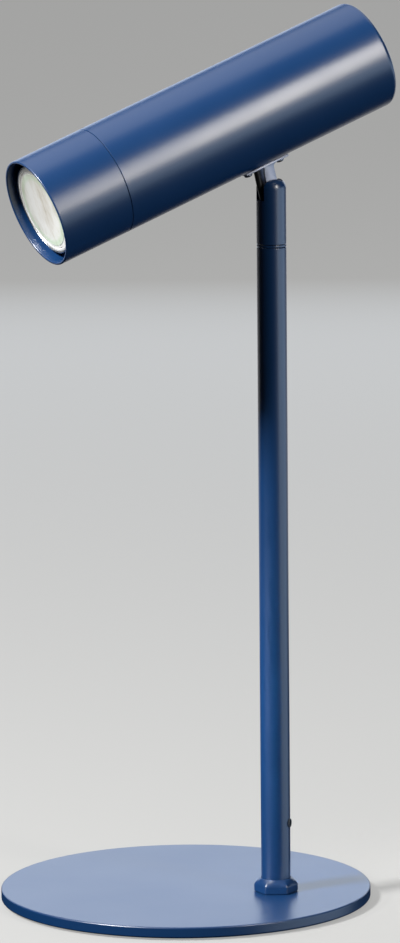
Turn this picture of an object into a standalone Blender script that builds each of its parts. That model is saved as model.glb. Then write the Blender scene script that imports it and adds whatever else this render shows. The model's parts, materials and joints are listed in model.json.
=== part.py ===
"""Table lamp: a tubular spot head on a swivel joint, a slim post and a round base plate.

The frame stands on the underside of the base, at its centre. +Z is up, and the head
points towards -Y, nose down by REST_TILT.
"""
import math

import bmesh
import bpy
from mathutils import Matrix, Vector

MM = 0.001

# Fits
SEAT = 0.3 * MM
OVERRUN = 2.0 * MM

# Pose at rest
REST_TILT = math.radians(20.5)
POST_BEARING = math.radians(45.0)

# Facets round a turned piece
BASE_FACETS = 80
HEAD_FACETS = 64
LAMP_FACETS = 48
POST_FACETS = 32
SMALL_FACETS = 24
SCREW_FACETS = 16
ROUND_STEPS = 4

# Base
BASE_DIAMETER = 203.0 * MM
BASE_THICKNESS = 6.0 * MM
BASE_EDGE = 0.5 * MM
PAD_THICKNESS = 0.7 * MM
PAD_INSET = 4.5 * MM
POST_OFFSET = 52.0 * MM

# Foot collar, a hexagon that closes onto the post
COLLAR_FLATS = 21.0 * MM
COLLAR_FLAT_HEIGHT = 3.5 * MM
COLLAR_SHOULDER_HEIGHT = 4.0 * MM
COLLAR_LIP = 0.6 * MM
COLLAR_TURN = math.radians(3.4)
COLLAR_SIDES = 6

# Screw from below and the threaded plug that it pulls on
BASE_SCREW_RADIUS = 3.0 * MM
BASE_SCREW_HEAD_RADIUS = 6.0 * MM
BASE_SCREW_HEAD_DEPTH = 3.0 * MM
BASE_SCREW_LENGTH = 24.0 * MM
BASE_SOCKET_FLATS = 4.0 * MM
BASE_SOCKET_DEPTH = 2.2 * MM
PLUG_LENGTH = 20.0 * MM

# Post
POST_DIAMETER = 16.0 * MM
POST_WALL = 1.5 * MM
POST_LENGTH = 355.3 * MM
OUTLET_HEIGHT = 38.5 * MM
OUTLET_FLANGE_RADIUS = 3.2 * MM
OUTLET_FLANGE_THICKNESS = 0.8 * MM
OUTLET_NECK_WALL = 0.35 * MM
OUTLET_INNER_FLANGE = 0.9 * MM

# Flex
LEAD_DIAMETER = 3.6 * MM
CORE_DIAMETER = 2.0 * MM
LEAD_STEP_DIAMETERS = 2.5
LEAD_BEND = 4.0 * MM
CLAMP_LENGTH = 6.0 * MM
CLAMP_ABOVE_OUTLET = 14.0 * MM

# Swivel at the top of the post
BUSH_LENGTH = 14.6 * MM
SPINDLE_RADIUS = 3.6 * MM
SPINDLE_WALL = 1.4 * MM
SPINDLE_TAIL = 1.9 * MM
RING_THICKNESS = 1.1 * MM
STOP_PIN_RADIUS = 0.5 * MM
STOP_PIN_PITCH_RADIUS = 5.35 * MM
STOP_PIN_GRIP = 4.0 * MM
STOP_PIN_REACH = 2.7 * MM
STOP_COLLAR_THICKNESS = 2.6 * MM
STOP_COLLAR_WALL = 0.75 * MM
STOP_TAB_WIDTH = 0.9 * MM
STOP_TAB_REACH = 6.1 * MM
SPRING_WASHER_RADIUS = 6.0 * MM
SPRING_WASHER_THICKNESS = 0.5 * MM
SPRING_WASHER_RISE = 0.6 * MM
SPINDLE_NUT_FLATS = 10.4 * MM
SPINDLE_NUT_THICKNESS = 3.0 * MM

# Swivel sleeve and the core inside it
SLEEVE_LENGTH = 35.4 * MM
SLEEVE_WALL = 1.25 * MM
SLEEVE_DOME_RADIUS = 5.0 * MM
SLOT_WIDTH = 8.8 * MM
SLOT_DEPTH = 11.7 * MM
SLOT_BACK = 5.2 * MM
CORE_FLANGE_HEIGHT = 6.7 * MM
TANG_THICKNESS = 2.8 * MM
TANG_BOSS_RADIUS = 3.2 * MM
TANG_BACK = 5.4 * MM

# Tilt pivot
PIN_BELOW_DOME = 6.7 * MM
PIVOT_RADIUS = 1.75 * MM
PIVOT_HEAD_RADIUS = 2.5 * MM
PIVOT_HEAD_THICKNESS = 1.3 * MM
PIVOT_WASHER_THICKNESS = 0.6 * MM
PIVOT_WASHER_RADIUS = 3.6 * MM

# Saddle bracket under the head
SADDLE_LENGTH = 27.0 * MM
SADDLE_WIDTH = 12.0 * MM
SADDLE_THICKNESS = 1.2 * MM
SADDLE_BACKSET = 0.5 * MM
SADDLE_SCREW_PITCH = 20.4 * MM
LEAF_THICKNESS = 1.5 * MM
LEAF_REACH = 14.5 * MM
LEAF_EYE_RADIUS = 4.5 * MM
LEAF_WAIST_HALF = 3.0 * MM
LEAF_ROOT_HALF = 4.3 * MM
LEAF_ROOT_BACKSET = 2.0 * MM
LEAD_HOLE_FORWARD = 4.2 * MM
LEAD_HOLE_CLEARANCE = 0.4 * MM
GROMMET_NECK_WALL = 0.5 * MM
GROMMET_FLANGE_WIDTH = 0.9 * MM
GROMMET_FLANGE_THICKNESS = 1.2 * MM

# Small screws
M3_RADIUS = 1.5 * MM
M3_HEAD_RADIUS = 2.3 * MM
M3_HEAD_THICKNESS = 1.6 * MM
M3_SLOT_WIDTH = 0.6 * MM
M3_SLOT_DEPTH = 0.8 * MM
SADDLE_SCREW_LENGTH = 7.0 * MM
HOLDER_SCREW_LENGTH = 10.0 * MM
BLOCK_SCREW_LENGTH = 9.0 * MM

# Head
HEAD_DIAMETER = 60.0 * MM
HEAD_LENGTH = 212.0 * MM
HEAD_WALL = 1.5 * MM
HEAD_BACK_WALL = 2.0 * MM
HEAD_BACK_ROUND = 2.5 * MM
FRONT_SLEEVE_LENGTH = 42.0 * MM
RIM_EDGE = 0.3 * MM
PIN_FROM_BACK = 79.5 * MM
COUPLING_WALL = 1.4 * MM
COUPLING_FRONT_REACH = 8.0 * MM
COUPLING_BACK_REACH = 10.0 * MM

# Reflector lamp with a two-pin twist base
LAMP_SIDE_GAP = 3.5 * MM
LAMP_RECESS = 4.2 * MM
LAMP_RIM_WALL = 0.8 * MM
LAMP_RIM_DEPTH = 5.0 * MM
LENS_THICKNESS = 2.0 * MM
LENS_EDGE = 0.5 * MM
REFLECTOR_WALL = 1.6 * MM
REFLECTOR_FOCUS = 6.0 * MM
REFLECTOR_NECK_RADIUS = 6.0 * MM
REFLECTOR_NECK_WALL = 3.0 * MM
REFLECTOR_NECK_LENGTH = 10.0 * MM
REFLECTOR_STEPS = 6
LAMP_BASE_RADIUS = 11.0 * MM
LAMP_BASE_WALL = 1.7 * MM
LAMP_BASE_LAP = 4.6 * MM
LAMP_BASE_SOLID = 13.7 * MM
LAMP_PIN_PITCH = 10.0 * MM
LAMP_PIN_RADIUS = 1.5 * MM
LAMP_PIN_HEAD_RADIUS = 2.5 * MM
LAMP_PIN_HEAD_LENGTH = 2.0 * MM
LAMP_PIN_LENGTH = 7.6 * MM
LAMP_PIN_GRIP = 3.7 * MM
LAMP_TWIST = math.radians(18.0)
CAPSULE_RADIUS = 4.5 * MM
CAPSULE_LENGTH = 22.0 * MM

# Lampholder, its contacts and the bracket that carries it
HOLDER_RADIUS = 13.5 * MM
HOLDER_DEPTH = 17.1 * MM
HOLDER_FRONT_WALL = 3.5 * MM
HOLDER_POCKET_DEPTH = 5.5 * MM
HOLDER_POCKET_CLEARANCE = 0.4 * MM
HOLDER_SCREW_PITCH = 17.0 * MM
CONTACT_RADIUS = 2.3 * MM
CONTACT_THICKNESS = 1.0 * MM
BRACKET_THICKNESS = 1.5 * MM
BRACKET_FOOT_WIDTH = 14.0 * MM
BRACKET_UPRIGHT_WIDTH = 22.0 * MM
BRACKET_RISE = 12.0 * MM
BRACKET_WIDE_DROP = 7.3 * MM
BRACKET_NARROW_DROP = 3.3 * MM
BRACKET_TAIL = 50.0 * MM
CORE_WINDOW_RADIUS = 2.6 * MM

# Terminal block behind the pivot
BLOCK_WIDTH = 23.0 * MM
BLOCK_HEIGHT = 13.0 * MM
BLOCK_LENGTH = 22.0 * MM
BLOCK_BEHIND_PIN = 25.5 * MM
BLOCK_POLE_PITCH = 12.0 * MM
BLOCK_CORE_HEIGHT = 6.6 * MM
BLOCK_SCREW_INSET = 5.0 * MM
TERMINAL_SCREW_LENGTH = 3.0 * MM

# Sizes that follow
lead_radius = LEAD_DIAMETER / 2
core_radius = CORE_DIAMETER / 2
base_radius = BASE_DIAMETER / 2
plate_bottom = PAD_THICKNESS + SEAT
plate_top = plate_bottom + BASE_THICKNESS
post_radius = POST_DIAMETER / 2
post_bore = post_radius - POST_WALL
post_insert = post_bore - SEAT
post_bottom = plate_top + SEAT
post_top = post_bottom + POST_LENGTH
outlet_z = plate_top + OUTLET_HEIGHT
ring_bottom = post_top + SEAT
sleeve_bottom = ring_bottom + RING_THICKNESS + SEAT
sleeve_top = sleeve_bottom + SLEEVE_LENGTH
sleeve_bore = post_radius - SLEEVE_WALL
slot_bottom = sleeve_top - SLOT_DEPTH
pin_z = sleeve_top - PIN_BELOW_DOME
spindle_bore = SPINDLE_RADIUS - SPINDLE_WALL
spindle_seat = SPINDLE_RADIUS + SEAT
bush_bottom = post_top - BUSH_LENGTH
stop_collar_top = bush_bottom - SEAT
stop_collar_bottom = stop_collar_top - STOP_COLLAR_THICKNESS
spring_washer_top = stop_collar_bottom - SEAT
spring_washer_bottom = spring_washer_top - SPRING_WASHER_THICKNESS - SPRING_WASHER_RISE
spindle_nut_top = spring_washer_bottom - SEAT
spindle_nut_bottom = spindle_nut_top - SPINDLE_NUT_THICKNESS
spindle_bottom = spindle_nut_bottom - SPINDLE_TAIL
core_flange_top = sleeve_bottom + CORE_FLANGE_HEIGHT
head_radius = HEAD_DIAMETER / 2
head_bore = head_radius - HEAD_WALL
saddle_inner = head_radius + SEAT
saddle_outer = saddle_inner + SADDLE_THICKNESS
pin_below_axis = saddle_outer + LEAF_REACH
leaf_outer = SLOT_WIDTH / 2 - SEAT
leaf_inner = leaf_outer - LEAF_THICKNESS
pin_from_front = HEAD_LENGTH - PIN_FROM_BACK
saddle_middle = pin_from_front + SADDLE_BACKSET
lead_hole_u = pin_from_front - LEAD_HOLE_FORWARD
lead_hole_radius = lead_radius + LEAD_HOLE_CLEARANCE
lamp_radius = head_bore - LAMP_SIDE_GAP
lens_radius = lamp_radius - LAMP_RIM_WALL - SEAT
lens_front = LAMP_RECESS + SEAT / 2
bowl_mouth_radius = lens_radius - LENS_THICKNESS / 2
bowl_mouth_u = lens_front + LENS_THICKNESS + SEAT
bowl_vertex_u = bowl_mouth_u + bowl_mouth_radius ** 2 / (4 * REFLECTOR_FOCUS)
neck_start_u = bowl_vertex_u - REFLECTOR_NECK_RADIUS ** 2 / (4 * REFLECTOR_FOCUS)
neck_end_u = neck_start_u + REFLECTOR_NECK_LENGTH
lamp_base_floor = neck_end_u + SEAT
lamp_base_end = lamp_base_floor + LAMP_BASE_SOLID
holder_front = lamp_base_end + SEAT
holder_back = holder_front + HOLDER_DEPTH
pocket_front = holder_front + HOLDER_FRONT_WALL
pocket_back = pocket_front + HOLDER_POCKET_DEPTH
upright_front = holder_back + SEAT
upright_back = upright_front + BRACKET_THICKNESS
foot_outer = math.sqrt((head_bore - SEAT) ** 2 - (BRACKET_FOOT_WIDTH / 2) ** 2)
foot_inner = foot_outer - BRACKET_THICKNESS
foot_end = pin_from_front + BRACKET_TAIL
block_front = pin_from_front + BLOCK_BEHIND_PIN
block_bottom = foot_inner - SEAT
block_top = block_bottom - BLOCK_HEIGHT
block_core_w = block_bottom - BLOCK_CORE_HEIGHT
pole_x = BLOCK_POLE_PITCH / 2
pin_x = LAMP_PIN_PITCH / 2

# Turns a shape drawn in a plane (a, b) with height h so that h runs across the lamp
ACROSS = Matrix(((0, 0, 1), (1, 0, 0), (0, 1, 0))).to_4x4()
# Turns a shape drawn on the head's axis so that its height runs down, away from the axis
DOWNWARD = Matrix(((1, 0, 0), (0, 0, 1), (0, -1, 0))).to_4x4()


def clear_scene():
    for obj in list(bpy.data.objects):
        bpy.data.objects.remove(obj, do_unlink=True)


def finish_material(name, colour, roughness, metallic, alpha=1.0):
    """A Principled material in the finish's own colour."""
    mat = bpy.data.materials.new(name)
    mat.use_nodes = True
    shader = mat.node_tree.nodes["Principled BSDF"]
    shader.inputs["Base Color"].default_value = (*colour, 1.0)
    shader.inputs["Roughness"].default_value = roughness
    shader.inputs["Metallic"].default_value = metallic
    shader.inputs["Alpha"].default_value = alpha
    mat.diffuse_color = (*colour, alpha)
    return mat


def empty(name, parent, location, turn_x=0.0):
    obj = bpy.data.objects.new(name, None)
    obj.location = location
    obj.rotation_euler = (turn_x, 0, 0)
    obj.parent = parent
    bpy.context.collection.objects.link(obj)
    return obj


def link_mesh(name, bm, parent):
    """Put a finished bmesh into the scene as an object whose faces point outwards."""
    bmesh.ops.remove_doubles(bm, verts=bm.verts, dist=SEAT / 1000)
    bmesh.ops.recalc_face_normals(bm, faces=bm.faces)
    mesh = bpy.data.meshes.new(name)
    bm.to_mesh(mesh)
    bm.free()
    mesh.shade_smooth()
    mesh.set_sharp_from_angle(angle=math.radians(35))
    obj = bpy.data.objects.new(name, mesh)
    obj.parent = parent
    bpy.context.collection.objects.link(obj)
    return obj


def piece(name, bm, parent, mat):
    obj = link_mesh(name, bm, parent)
    obj.data.materials.append(mat)
    return obj


def helper(name, bm, parent):
    """A shape that only cuts or joins another."""
    obj = link_mesh(name, bm, parent)
    obj.hide_render = True
    obj.display_type = "WIRE"
    return obj


def combine(obj, bm, operation, label):
    other = helper(f"{obj.name}_{label}", bm, obj.parent)
    mod = obj.modifiers.new(label, "BOOLEAN")
    mod.operation = operation
    mod.object = other
    return obj


def cut(obj, bm, label):
    return combine(obj, bm, "DIFFERENCE", label)


def add(obj, bm, label):
    return combine(obj, bm, "UNION", label)


def arc(centre, radius, start, end, steps=ROUND_STEPS):
    """Points of an arc in the plane of an outline, in degrees."""
    points = []
    for i in range(steps + 1):
        angle = math.radians(start + (end - start) * i / steps)
        points.append((centre[0] + radius * math.cos(angle), centre[1] + radius * math.sin(angle)))
    return points


def hexagon(flats, turn=0.0):
    corner = flats / math.sqrt(3)
    points = []
    for i in range(COLLAR_SIDES):
        angle = turn + i * math.tau / COLLAR_SIDES
        points.append((corner * math.cos(angle), corner * math.sin(angle)))
    return points


def rectangle(low_a, high_a, low_b, high_b):
    return [(low_a, low_b), (high_a, low_b), (high_a, high_b), (low_a, high_b)]


def turned(outline, facets, matrix=Matrix.Identity(4)):
    """A body turned about Z from a closed outline of (radius, height) points."""
    bm = bmesh.new()
    verts = [bm.verts.new((radius, 0, height)) for radius, height in outline]
    for i, vert in enumerate(verts):
        following = verts[(i + 1) % len(verts)]
        if vert.co.x > 0 or following.co.x > 0:
            bm.edges.new((vert, following))
    bmesh.ops.spin(bm, geom=bm.verts[:] + bm.edges[:], cent=(0, 0, 0), axis=(0, 0, 1),
                   angle=math.tau, steps=facets, use_merge=True)
    bmesh.ops.remove_doubles(bm, verts=bm.verts, dist=SEAT / 1000)
    bmesh.ops.transform(bm, matrix=matrix, verts=bm.verts)
    return bm


def ring(inner, outer, low, high, facets, matrix=Matrix.Identity(4)):
    return turned([(inner, low), (outer, low), (outer, high), (inner, high)], facets, matrix)


def rod(radius, low, high, facets, matrix=Matrix.Identity(4)):
    return turned([(0, low), (radius, low), (radius, high), (0, high)], facets, matrix)


def prism(outline, low, high, matrix=Matrix.Identity(4)):
    """A flat outline of (a, b) points given a thickness from low to high."""
    bm = bmesh.new()
    face = bm.faces.new([bm.verts.new((a, b, low)) for a, b in outline])
    result = bmesh.ops.extrude_face_region(bm, geom=[face])
    raised = [item for item in result["geom"] if isinstance(item, bmesh.types.BMVert)]
    bmesh.ops.translate(bm, vec=(0, 0, high - low), verts=raised)
    bmesh.ops.transform(bm, matrix=matrix, verts=bm.verts)
    return bm


def at(x, y, z):
    return Matrix.Translation((x, y, z))


def smooth_route(points, spacing):
    """Points along a smooth curve through the route's own points."""
    points = [Vector(point) for point in points]
    ends = [2 * points[0] - points[1]] + points + [2 * points[-1] - points[-2]]
    route = []
    for before, start, end, after in zip(ends, ends[1:], ends[2:], ends[3:]):
        steps = max(1, round((end - start).length / spacing))
        for i in range(steps):
            t = i / steps
            route.append(0.5 * (2 * start + (end - before) * t
                                + (2 * before - 5 * start + 4 * end - after) * t ** 2
                                + (3 * start - before - 3 * end + after) * t ** 3))
    return route + [points[-1]]


def lead(name, points, diameter, parent, mat):
    """A flexible lead as a round tube along a smooth route."""
    curve = bpy.data.curves.new(name, "CURVE")
    curve.dimensions = "3D"
    curve.bevel_depth = diameter / 2
    curve.bevel_resolution = 2
    curve.use_fill_caps = True
    route = smooth_route(points, diameter * LEAD_STEP_DIAMETERS)
    spline = curve.splines.new("POLY")
    spline.points.add(len(route) - 1)
    for point, place in zip(spline.points, route):
        point.co = (*place, 1.0)
    curve.materials.append(mat)
    obj = bpy.data.objects.new(name, curve)
    obj.parent = parent
    bpy.context.collection.objects.link(obj)
    return obj


def pan_head_screw(name, length, parent, mat, matrix):
    """A small slotted screw: its head stands on the plane z = 0 and its shank goes down -Z."""
    outline = [(0, -length), (M3_RADIUS, -length), (M3_RADIUS, 0), (M3_HEAD_RADIUS, 0),
               (M3_HEAD_RADIUS, M3_HEAD_THICKNESS / 2),
               (M3_HEAD_RADIUS - M3_HEAD_THICKNESS / 2, M3_HEAD_THICKNESS), (0, M3_HEAD_THICKNESS)]
    screw = piece(name, turned(outline, SCREW_FACETS, matrix), parent, mat)
    reach = M3_HEAD_RADIUS + OVERRUN
    slot = rectangle(-M3_SLOT_WIDTH / 2, M3_SLOT_WIDTH / 2, -reach, reach)
    slot_floor = M3_HEAD_THICKNESS - M3_SLOT_DEPTH
    return cut(screw, prism(slot, slot_floor, M3_HEAD_THICKNESS + OVERRUN, matrix), "slot")


def build_base(stand, post_axis, paint, steel, foam):
    edge = BASE_EDGE
    plate = piece("base_plate", turned([
        (0, plate_bottom), (base_radius - edge, plate_bottom), (base_radius, plate_bottom + edge),
        (base_radius, plate_top - edge), (base_radius - edge, plate_top), (0, plate_top)],
        BASE_FACETS), stand, paint)
    head_radius_free = BASE_SCREW_HEAD_RADIUS + SEAT
    shank_free = BASE_SCREW_RADIUS + SEAT
    seat_slope = (BASE_SCREW_HEAD_RADIUS - BASE_SCREW_RADIUS) / BASE_SCREW_HEAD_DEPTH
    sunk = plate_bottom + SEAT
    below = plate_bottom - OVERRUN
    hole = turned([(0, below), (head_radius_free, below), (head_radius_free, sunk),
                   (shank_free, sunk + (head_radius_free - shank_free) / seat_slope),
                   (shank_free, plate_top + OVERRUN), (0, plate_top + OVERRUN)],
                  SMALL_FACETS, at(*post_axis.location))
    cut(plate, hole, "screw_hole")
    piece("base_pad", rod(base_radius - PAD_INSET, 0, PAD_THICKNESS, BASE_FACETS), stand, foam)
    screw = piece("base_screw", turned([
        (0, sunk), (BASE_SCREW_HEAD_RADIUS, sunk), (BASE_SCREW_RADIUS, sunk + BASE_SCREW_HEAD_DEPTH),
        (BASE_SCREW_RADIUS, sunk + BASE_SCREW_LENGTH), (0, sunk + BASE_SCREW_LENGTH)],
        SMALL_FACETS), post_axis, steel)
    cut(screw, prism(hexagon(BASE_SOCKET_FLATS), sunk - OVERRUN, sunk + BASE_SOCKET_DEPTH), "socket")
    piece("foot_plug", ring(shank_free, post_insert, post_bottom, post_bottom + PLUG_LENGTH,
                            SMALL_FACETS), post_axis, steel)


def build_foot_collar(post_axis, paint):
    """A hexagonal foot whose sloped shoulder closes round the post."""
    facets = COLLAR_SIDES * ROUND_STEPS
    apothem = COLLAR_FLATS / 2
    side = math.tau / COLLAR_SIDES
    bore = post_radius + SEAT
    flat_top = post_bottom + COLLAR_FLAT_HEIGHT
    top = flat_top + COLLAR_SHOULDER_HEIGHT

    def loop(bm, height, radius_at):
        verts = []
        for i in range(facets):
            turn = i * math.tau / facets
            radius = radius_at(turn)
            angle = turn + COLLAR_TURN
            verts.append(bm.verts.new((radius * math.cos(angle), radius * math.sin(angle), height)))
        return verts

    def hexagonal(turn):
        return apothem / math.cos((turn % side) - side / 2)

    bm = bmesh.new()
    loops = [loop(bm, post_bottom, lambda turn: bore), loop(bm, post_bottom, hexagonal),
             loop(bm, flat_top, hexagonal), loop(bm, top, lambda turn: bore + COLLAR_LIP),
             loop(bm, top, lambda turn: bore)]
    for lower, upper in zip(loops, loops[1:] + loops[:1]):
        for i in range(facets):
            j = (i + 1) % facets
            bm.faces.new((lower[i], lower[j], upper[j], upper[i]))
    piece("foot_collar", bm, post_axis, paint)


def build_post(post_axis, paint, rubber, nylon, brass, steel, flex):
    post = piece("post_tube", ring(post_bore, post_radius, post_bottom, post_top, POST_FACETS),
                 post_axis, paint)
    bore = lead_radius + SEAT
    neck = bore + OUTLET_NECK_WALL
    outward = Matrix.Rotation(POST_BEARING, 4, "Z")
    outlet = at(0, 0, outlet_z) @ outward @ Matrix.Rotation(math.radians(90), 4, "Y")
    cut(post, rod(neck + SEAT, 0, post_radius + OVERRUN, SMALL_FACETS, outlet), "outlet")
    flange_back = post_radius + SEAT
    inner_face = math.sqrt(post_bore ** 2 - OUTLET_FLANGE_RADIUS ** 2) - SEAT
    piece("outlet_grommet", turned([
        (bore, inner_face - OUTLET_INNER_FLANGE), (OUTLET_FLANGE_RADIUS, inner_face - OUTLET_INNER_FLANGE),
        (OUTLET_FLANGE_RADIUS, inner_face), (neck, inner_face), (neck, flange_back),
        (OUTLET_FLANGE_RADIUS, flange_back),
        (OUTLET_FLANGE_RADIUS - OUTLET_FLANGE_THICKNESS / 2, flange_back + OUTLET_FLANGE_THICKNESS),
        (bore, flange_back + OUTLET_FLANGE_THICKNESS)], SMALL_FACETS, outlet), post_axis, rubber)
    clamp_bottom = outlet_z + CLAMP_ABOVE_OUTLET
    piece("lead_clamp", ring(bore, post_insert, clamp_bottom, clamp_bottom + CLAMP_LENGTH,
                             SMALL_FACETS), post_axis, nylon)
    inside = inner_face - OUTLET_INNER_FLANGE
    lead_top = sleeve_bottom - SEAT
    rise = LEAD_BEND
    route = [(post_radius, outlet_z), (inside, outlet_z), (inside - rise * 0.45, outlet_z + rise * 0.14),
             (rise * 0.2, outlet_z + rise * 0.55), (0, outlet_z + rise * 1.5), (0, clamp_bottom),
             (0, clamp_bottom + CLAMP_LENGTH), (0, (clamp_bottom + lead_top) / 2), (0, lead_top)]
    lead("post_lead", [outward @ Vector((out, 0, z)) for out, z in route], LEAD_DIAMETER, post_axis, flex)
    bush = piece("post_bush", ring(spindle_seat, post_insert, bush_bottom, post_top, SMALL_FACETS),
                 post_axis, brass)
    stop_place = outward @ at(STOP_PIN_PITCH_RADIUS, 0, 0)
    cut(bush, rod(STOP_PIN_RADIUS + SEAT, bush_bottom - OVERRUN, bush_bottom + STOP_PIN_GRIP + SEAT,
                  SCREW_FACETS, stop_place), "stop_pin_hole")
    piece("stop_pin", rod(STOP_PIN_RADIUS, bush_bottom - STOP_PIN_REACH, bush_bottom + STOP_PIN_GRIP,
                          SCREW_FACETS, stop_place), post_axis, steel)


def build_swivel(pan_axis, paint, brass, steel, flex):
    piece("swivel_ring", ring(spindle_seat, post_radius, ring_bottom, ring_bottom + RING_THICKNESS,
                              POST_FACETS), pan_axis, paint)
    dome_centre = (post_radius - SLEEVE_DOME_RADIUS, sleeve_top - SLEEVE_DOME_RADIUS)
    outer_dome = arc(dome_centre, SLEEVE_DOME_RADIUS, 0, 90, 6)
    inner_dome = arc(dome_centre, SLEEVE_DOME_RADIUS - SLEEVE_WALL, 90, 0, 6)
    sleeve = piece("swivel_sleeve", turned(
        [(sleeve_bore, sleeve_bottom), (post_radius, sleeve_bottom)] + outer_dome
        + [(0, sleeve_top), (0, sleeve_top - SLEEVE_WALL)] + inner_dome, POST_FACETS), pan_axis, paint)
    slot = rectangle(-SLOT_WIDTH / 2, SLOT_WIDTH / 2, -post_radius - OVERRUN, SLOT_BACK)
    cut(sleeve, prism(slot, slot_bottom, sleeve_top + OVERRUN), "slot")

    flange = sleeve_bore - SEAT
    core = piece("swivel_core", turned([
        (spindle_bore, spindle_bottom), (SPINDLE_RADIUS, spindle_bottom), (SPINDLE_RADIUS, sleeve_bottom),
        (flange, sleeve_bottom), (flange, core_flange_top), (spindle_bore, core_flange_top)],
        SMALL_FACETS), pan_axis, brass)
    front_of_back = spindle_bore + SEAT
    boss_foot = arc((0, pin_z), TANG_BOSS_RADIUS, 90, 225, 6)
    knee = core_flange_top + (boss_foot[-1][1] - core_flange_top) / 2
    tang = [(front_of_back, core_flange_top - SEAT), (TANG_BACK, core_flange_top - SEAT),
            (TANG_BACK, pin_z + TANG_BOSS_RADIUS / 2),
            (TANG_BOSS_RADIUS, pin_z + TANG_BOSS_RADIUS)] + boss_foot + [(front_of_back, knee)]
    half = TANG_THICKNESS / 2
    add(core, prism(tang, -half, half, ACROSS), "tang")
    cut(core, rod(PIVOT_RADIUS + SEAT, -half - OVERRUN, half + OVERRUN, SCREW_FACETS,
                  at(0, 0, pin_z) @ Matrix.Rotation(math.radians(90), 4, "Y")), "pivot_hole")

    collar = piece("stop_collar", ring(spindle_seat, spindle_seat + STOP_COLLAR_WALL, stop_collar_bottom,
                                       stop_collar_top, SMALL_FACETS), pan_axis, steel)
    tab = rectangle(-STOP_TAB_WIDTH / 2, STOP_TAB_WIDTH / 2,
                    -STOP_TAB_REACH, -spindle_seat - STOP_COLLAR_WALL / 2)
    add(collar, prism(tab, stop_collar_bottom, stop_collar_top), "tab")
    piece("spring_washer", turned([
        (spindle_seat, spring_washer_bottom),
        (SPRING_WASHER_RADIUS, spring_washer_bottom + SPRING_WASHER_RISE),
        (SPRING_WASHER_RADIUS, spring_washer_top),
        (spindle_seat, spring_washer_bottom + SPRING_WASHER_THICKNESS)], SMALL_FACETS), pan_axis, steel)
    nut = piece("spindle_nut", prism(hexagon(SPINDLE_NUT_FLATS), spindle_nut_bottom, spindle_nut_top),
                pan_axis, steel)
    cut(nut, rod(spindle_seat, spindle_nut_bottom - OVERRUN, spindle_nut_top + OVERRUN, SMALL_FACETS), "bore")

    # The lead leaves the spindle, passes in front of the pivot and rises to the hole in the saddle
    across_tilt = Matrix.Rotation(REST_TILT, 4, "X")
    mouth = at(0, 0, pin_z) @ across_tilt @ Vector((0, -LEAD_HOLE_FORWARD, LEAF_REACH + SADDLE_THICKNESS / 4))
    below_mouth = at(0, 0, pin_z) @ across_tilt @ Vector((0, -LEAD_HOLE_FORWARD, LEAF_REACH - LEAF_THICKNESS))
    pivot_y = -(TANG_BOSS_RADIUS + 2 * SEAT + lead_radius)
    rise = pin_z - core_flange_top
    lead("joint_lead", [
        (0, 0, sleeve_bottom + SEAT / 2), (0, 0, core_flange_top),
        (0, pivot_y * 0.14, core_flange_top + rise * 0.2),
        (0, pivot_y * 0.5, core_flange_top + rise * 0.5),
        (0, pivot_y * 0.86, core_flange_top + rise * 0.8),
        (0, pivot_y * 1.06, pin_z), (0, pivot_y * 1.28, pin_z + PIN_BELOW_DOME * 0.7),
        tuple(below_mouth), tuple(mouth)], LEAD_DIAMETER, pan_axis, flex)


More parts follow.
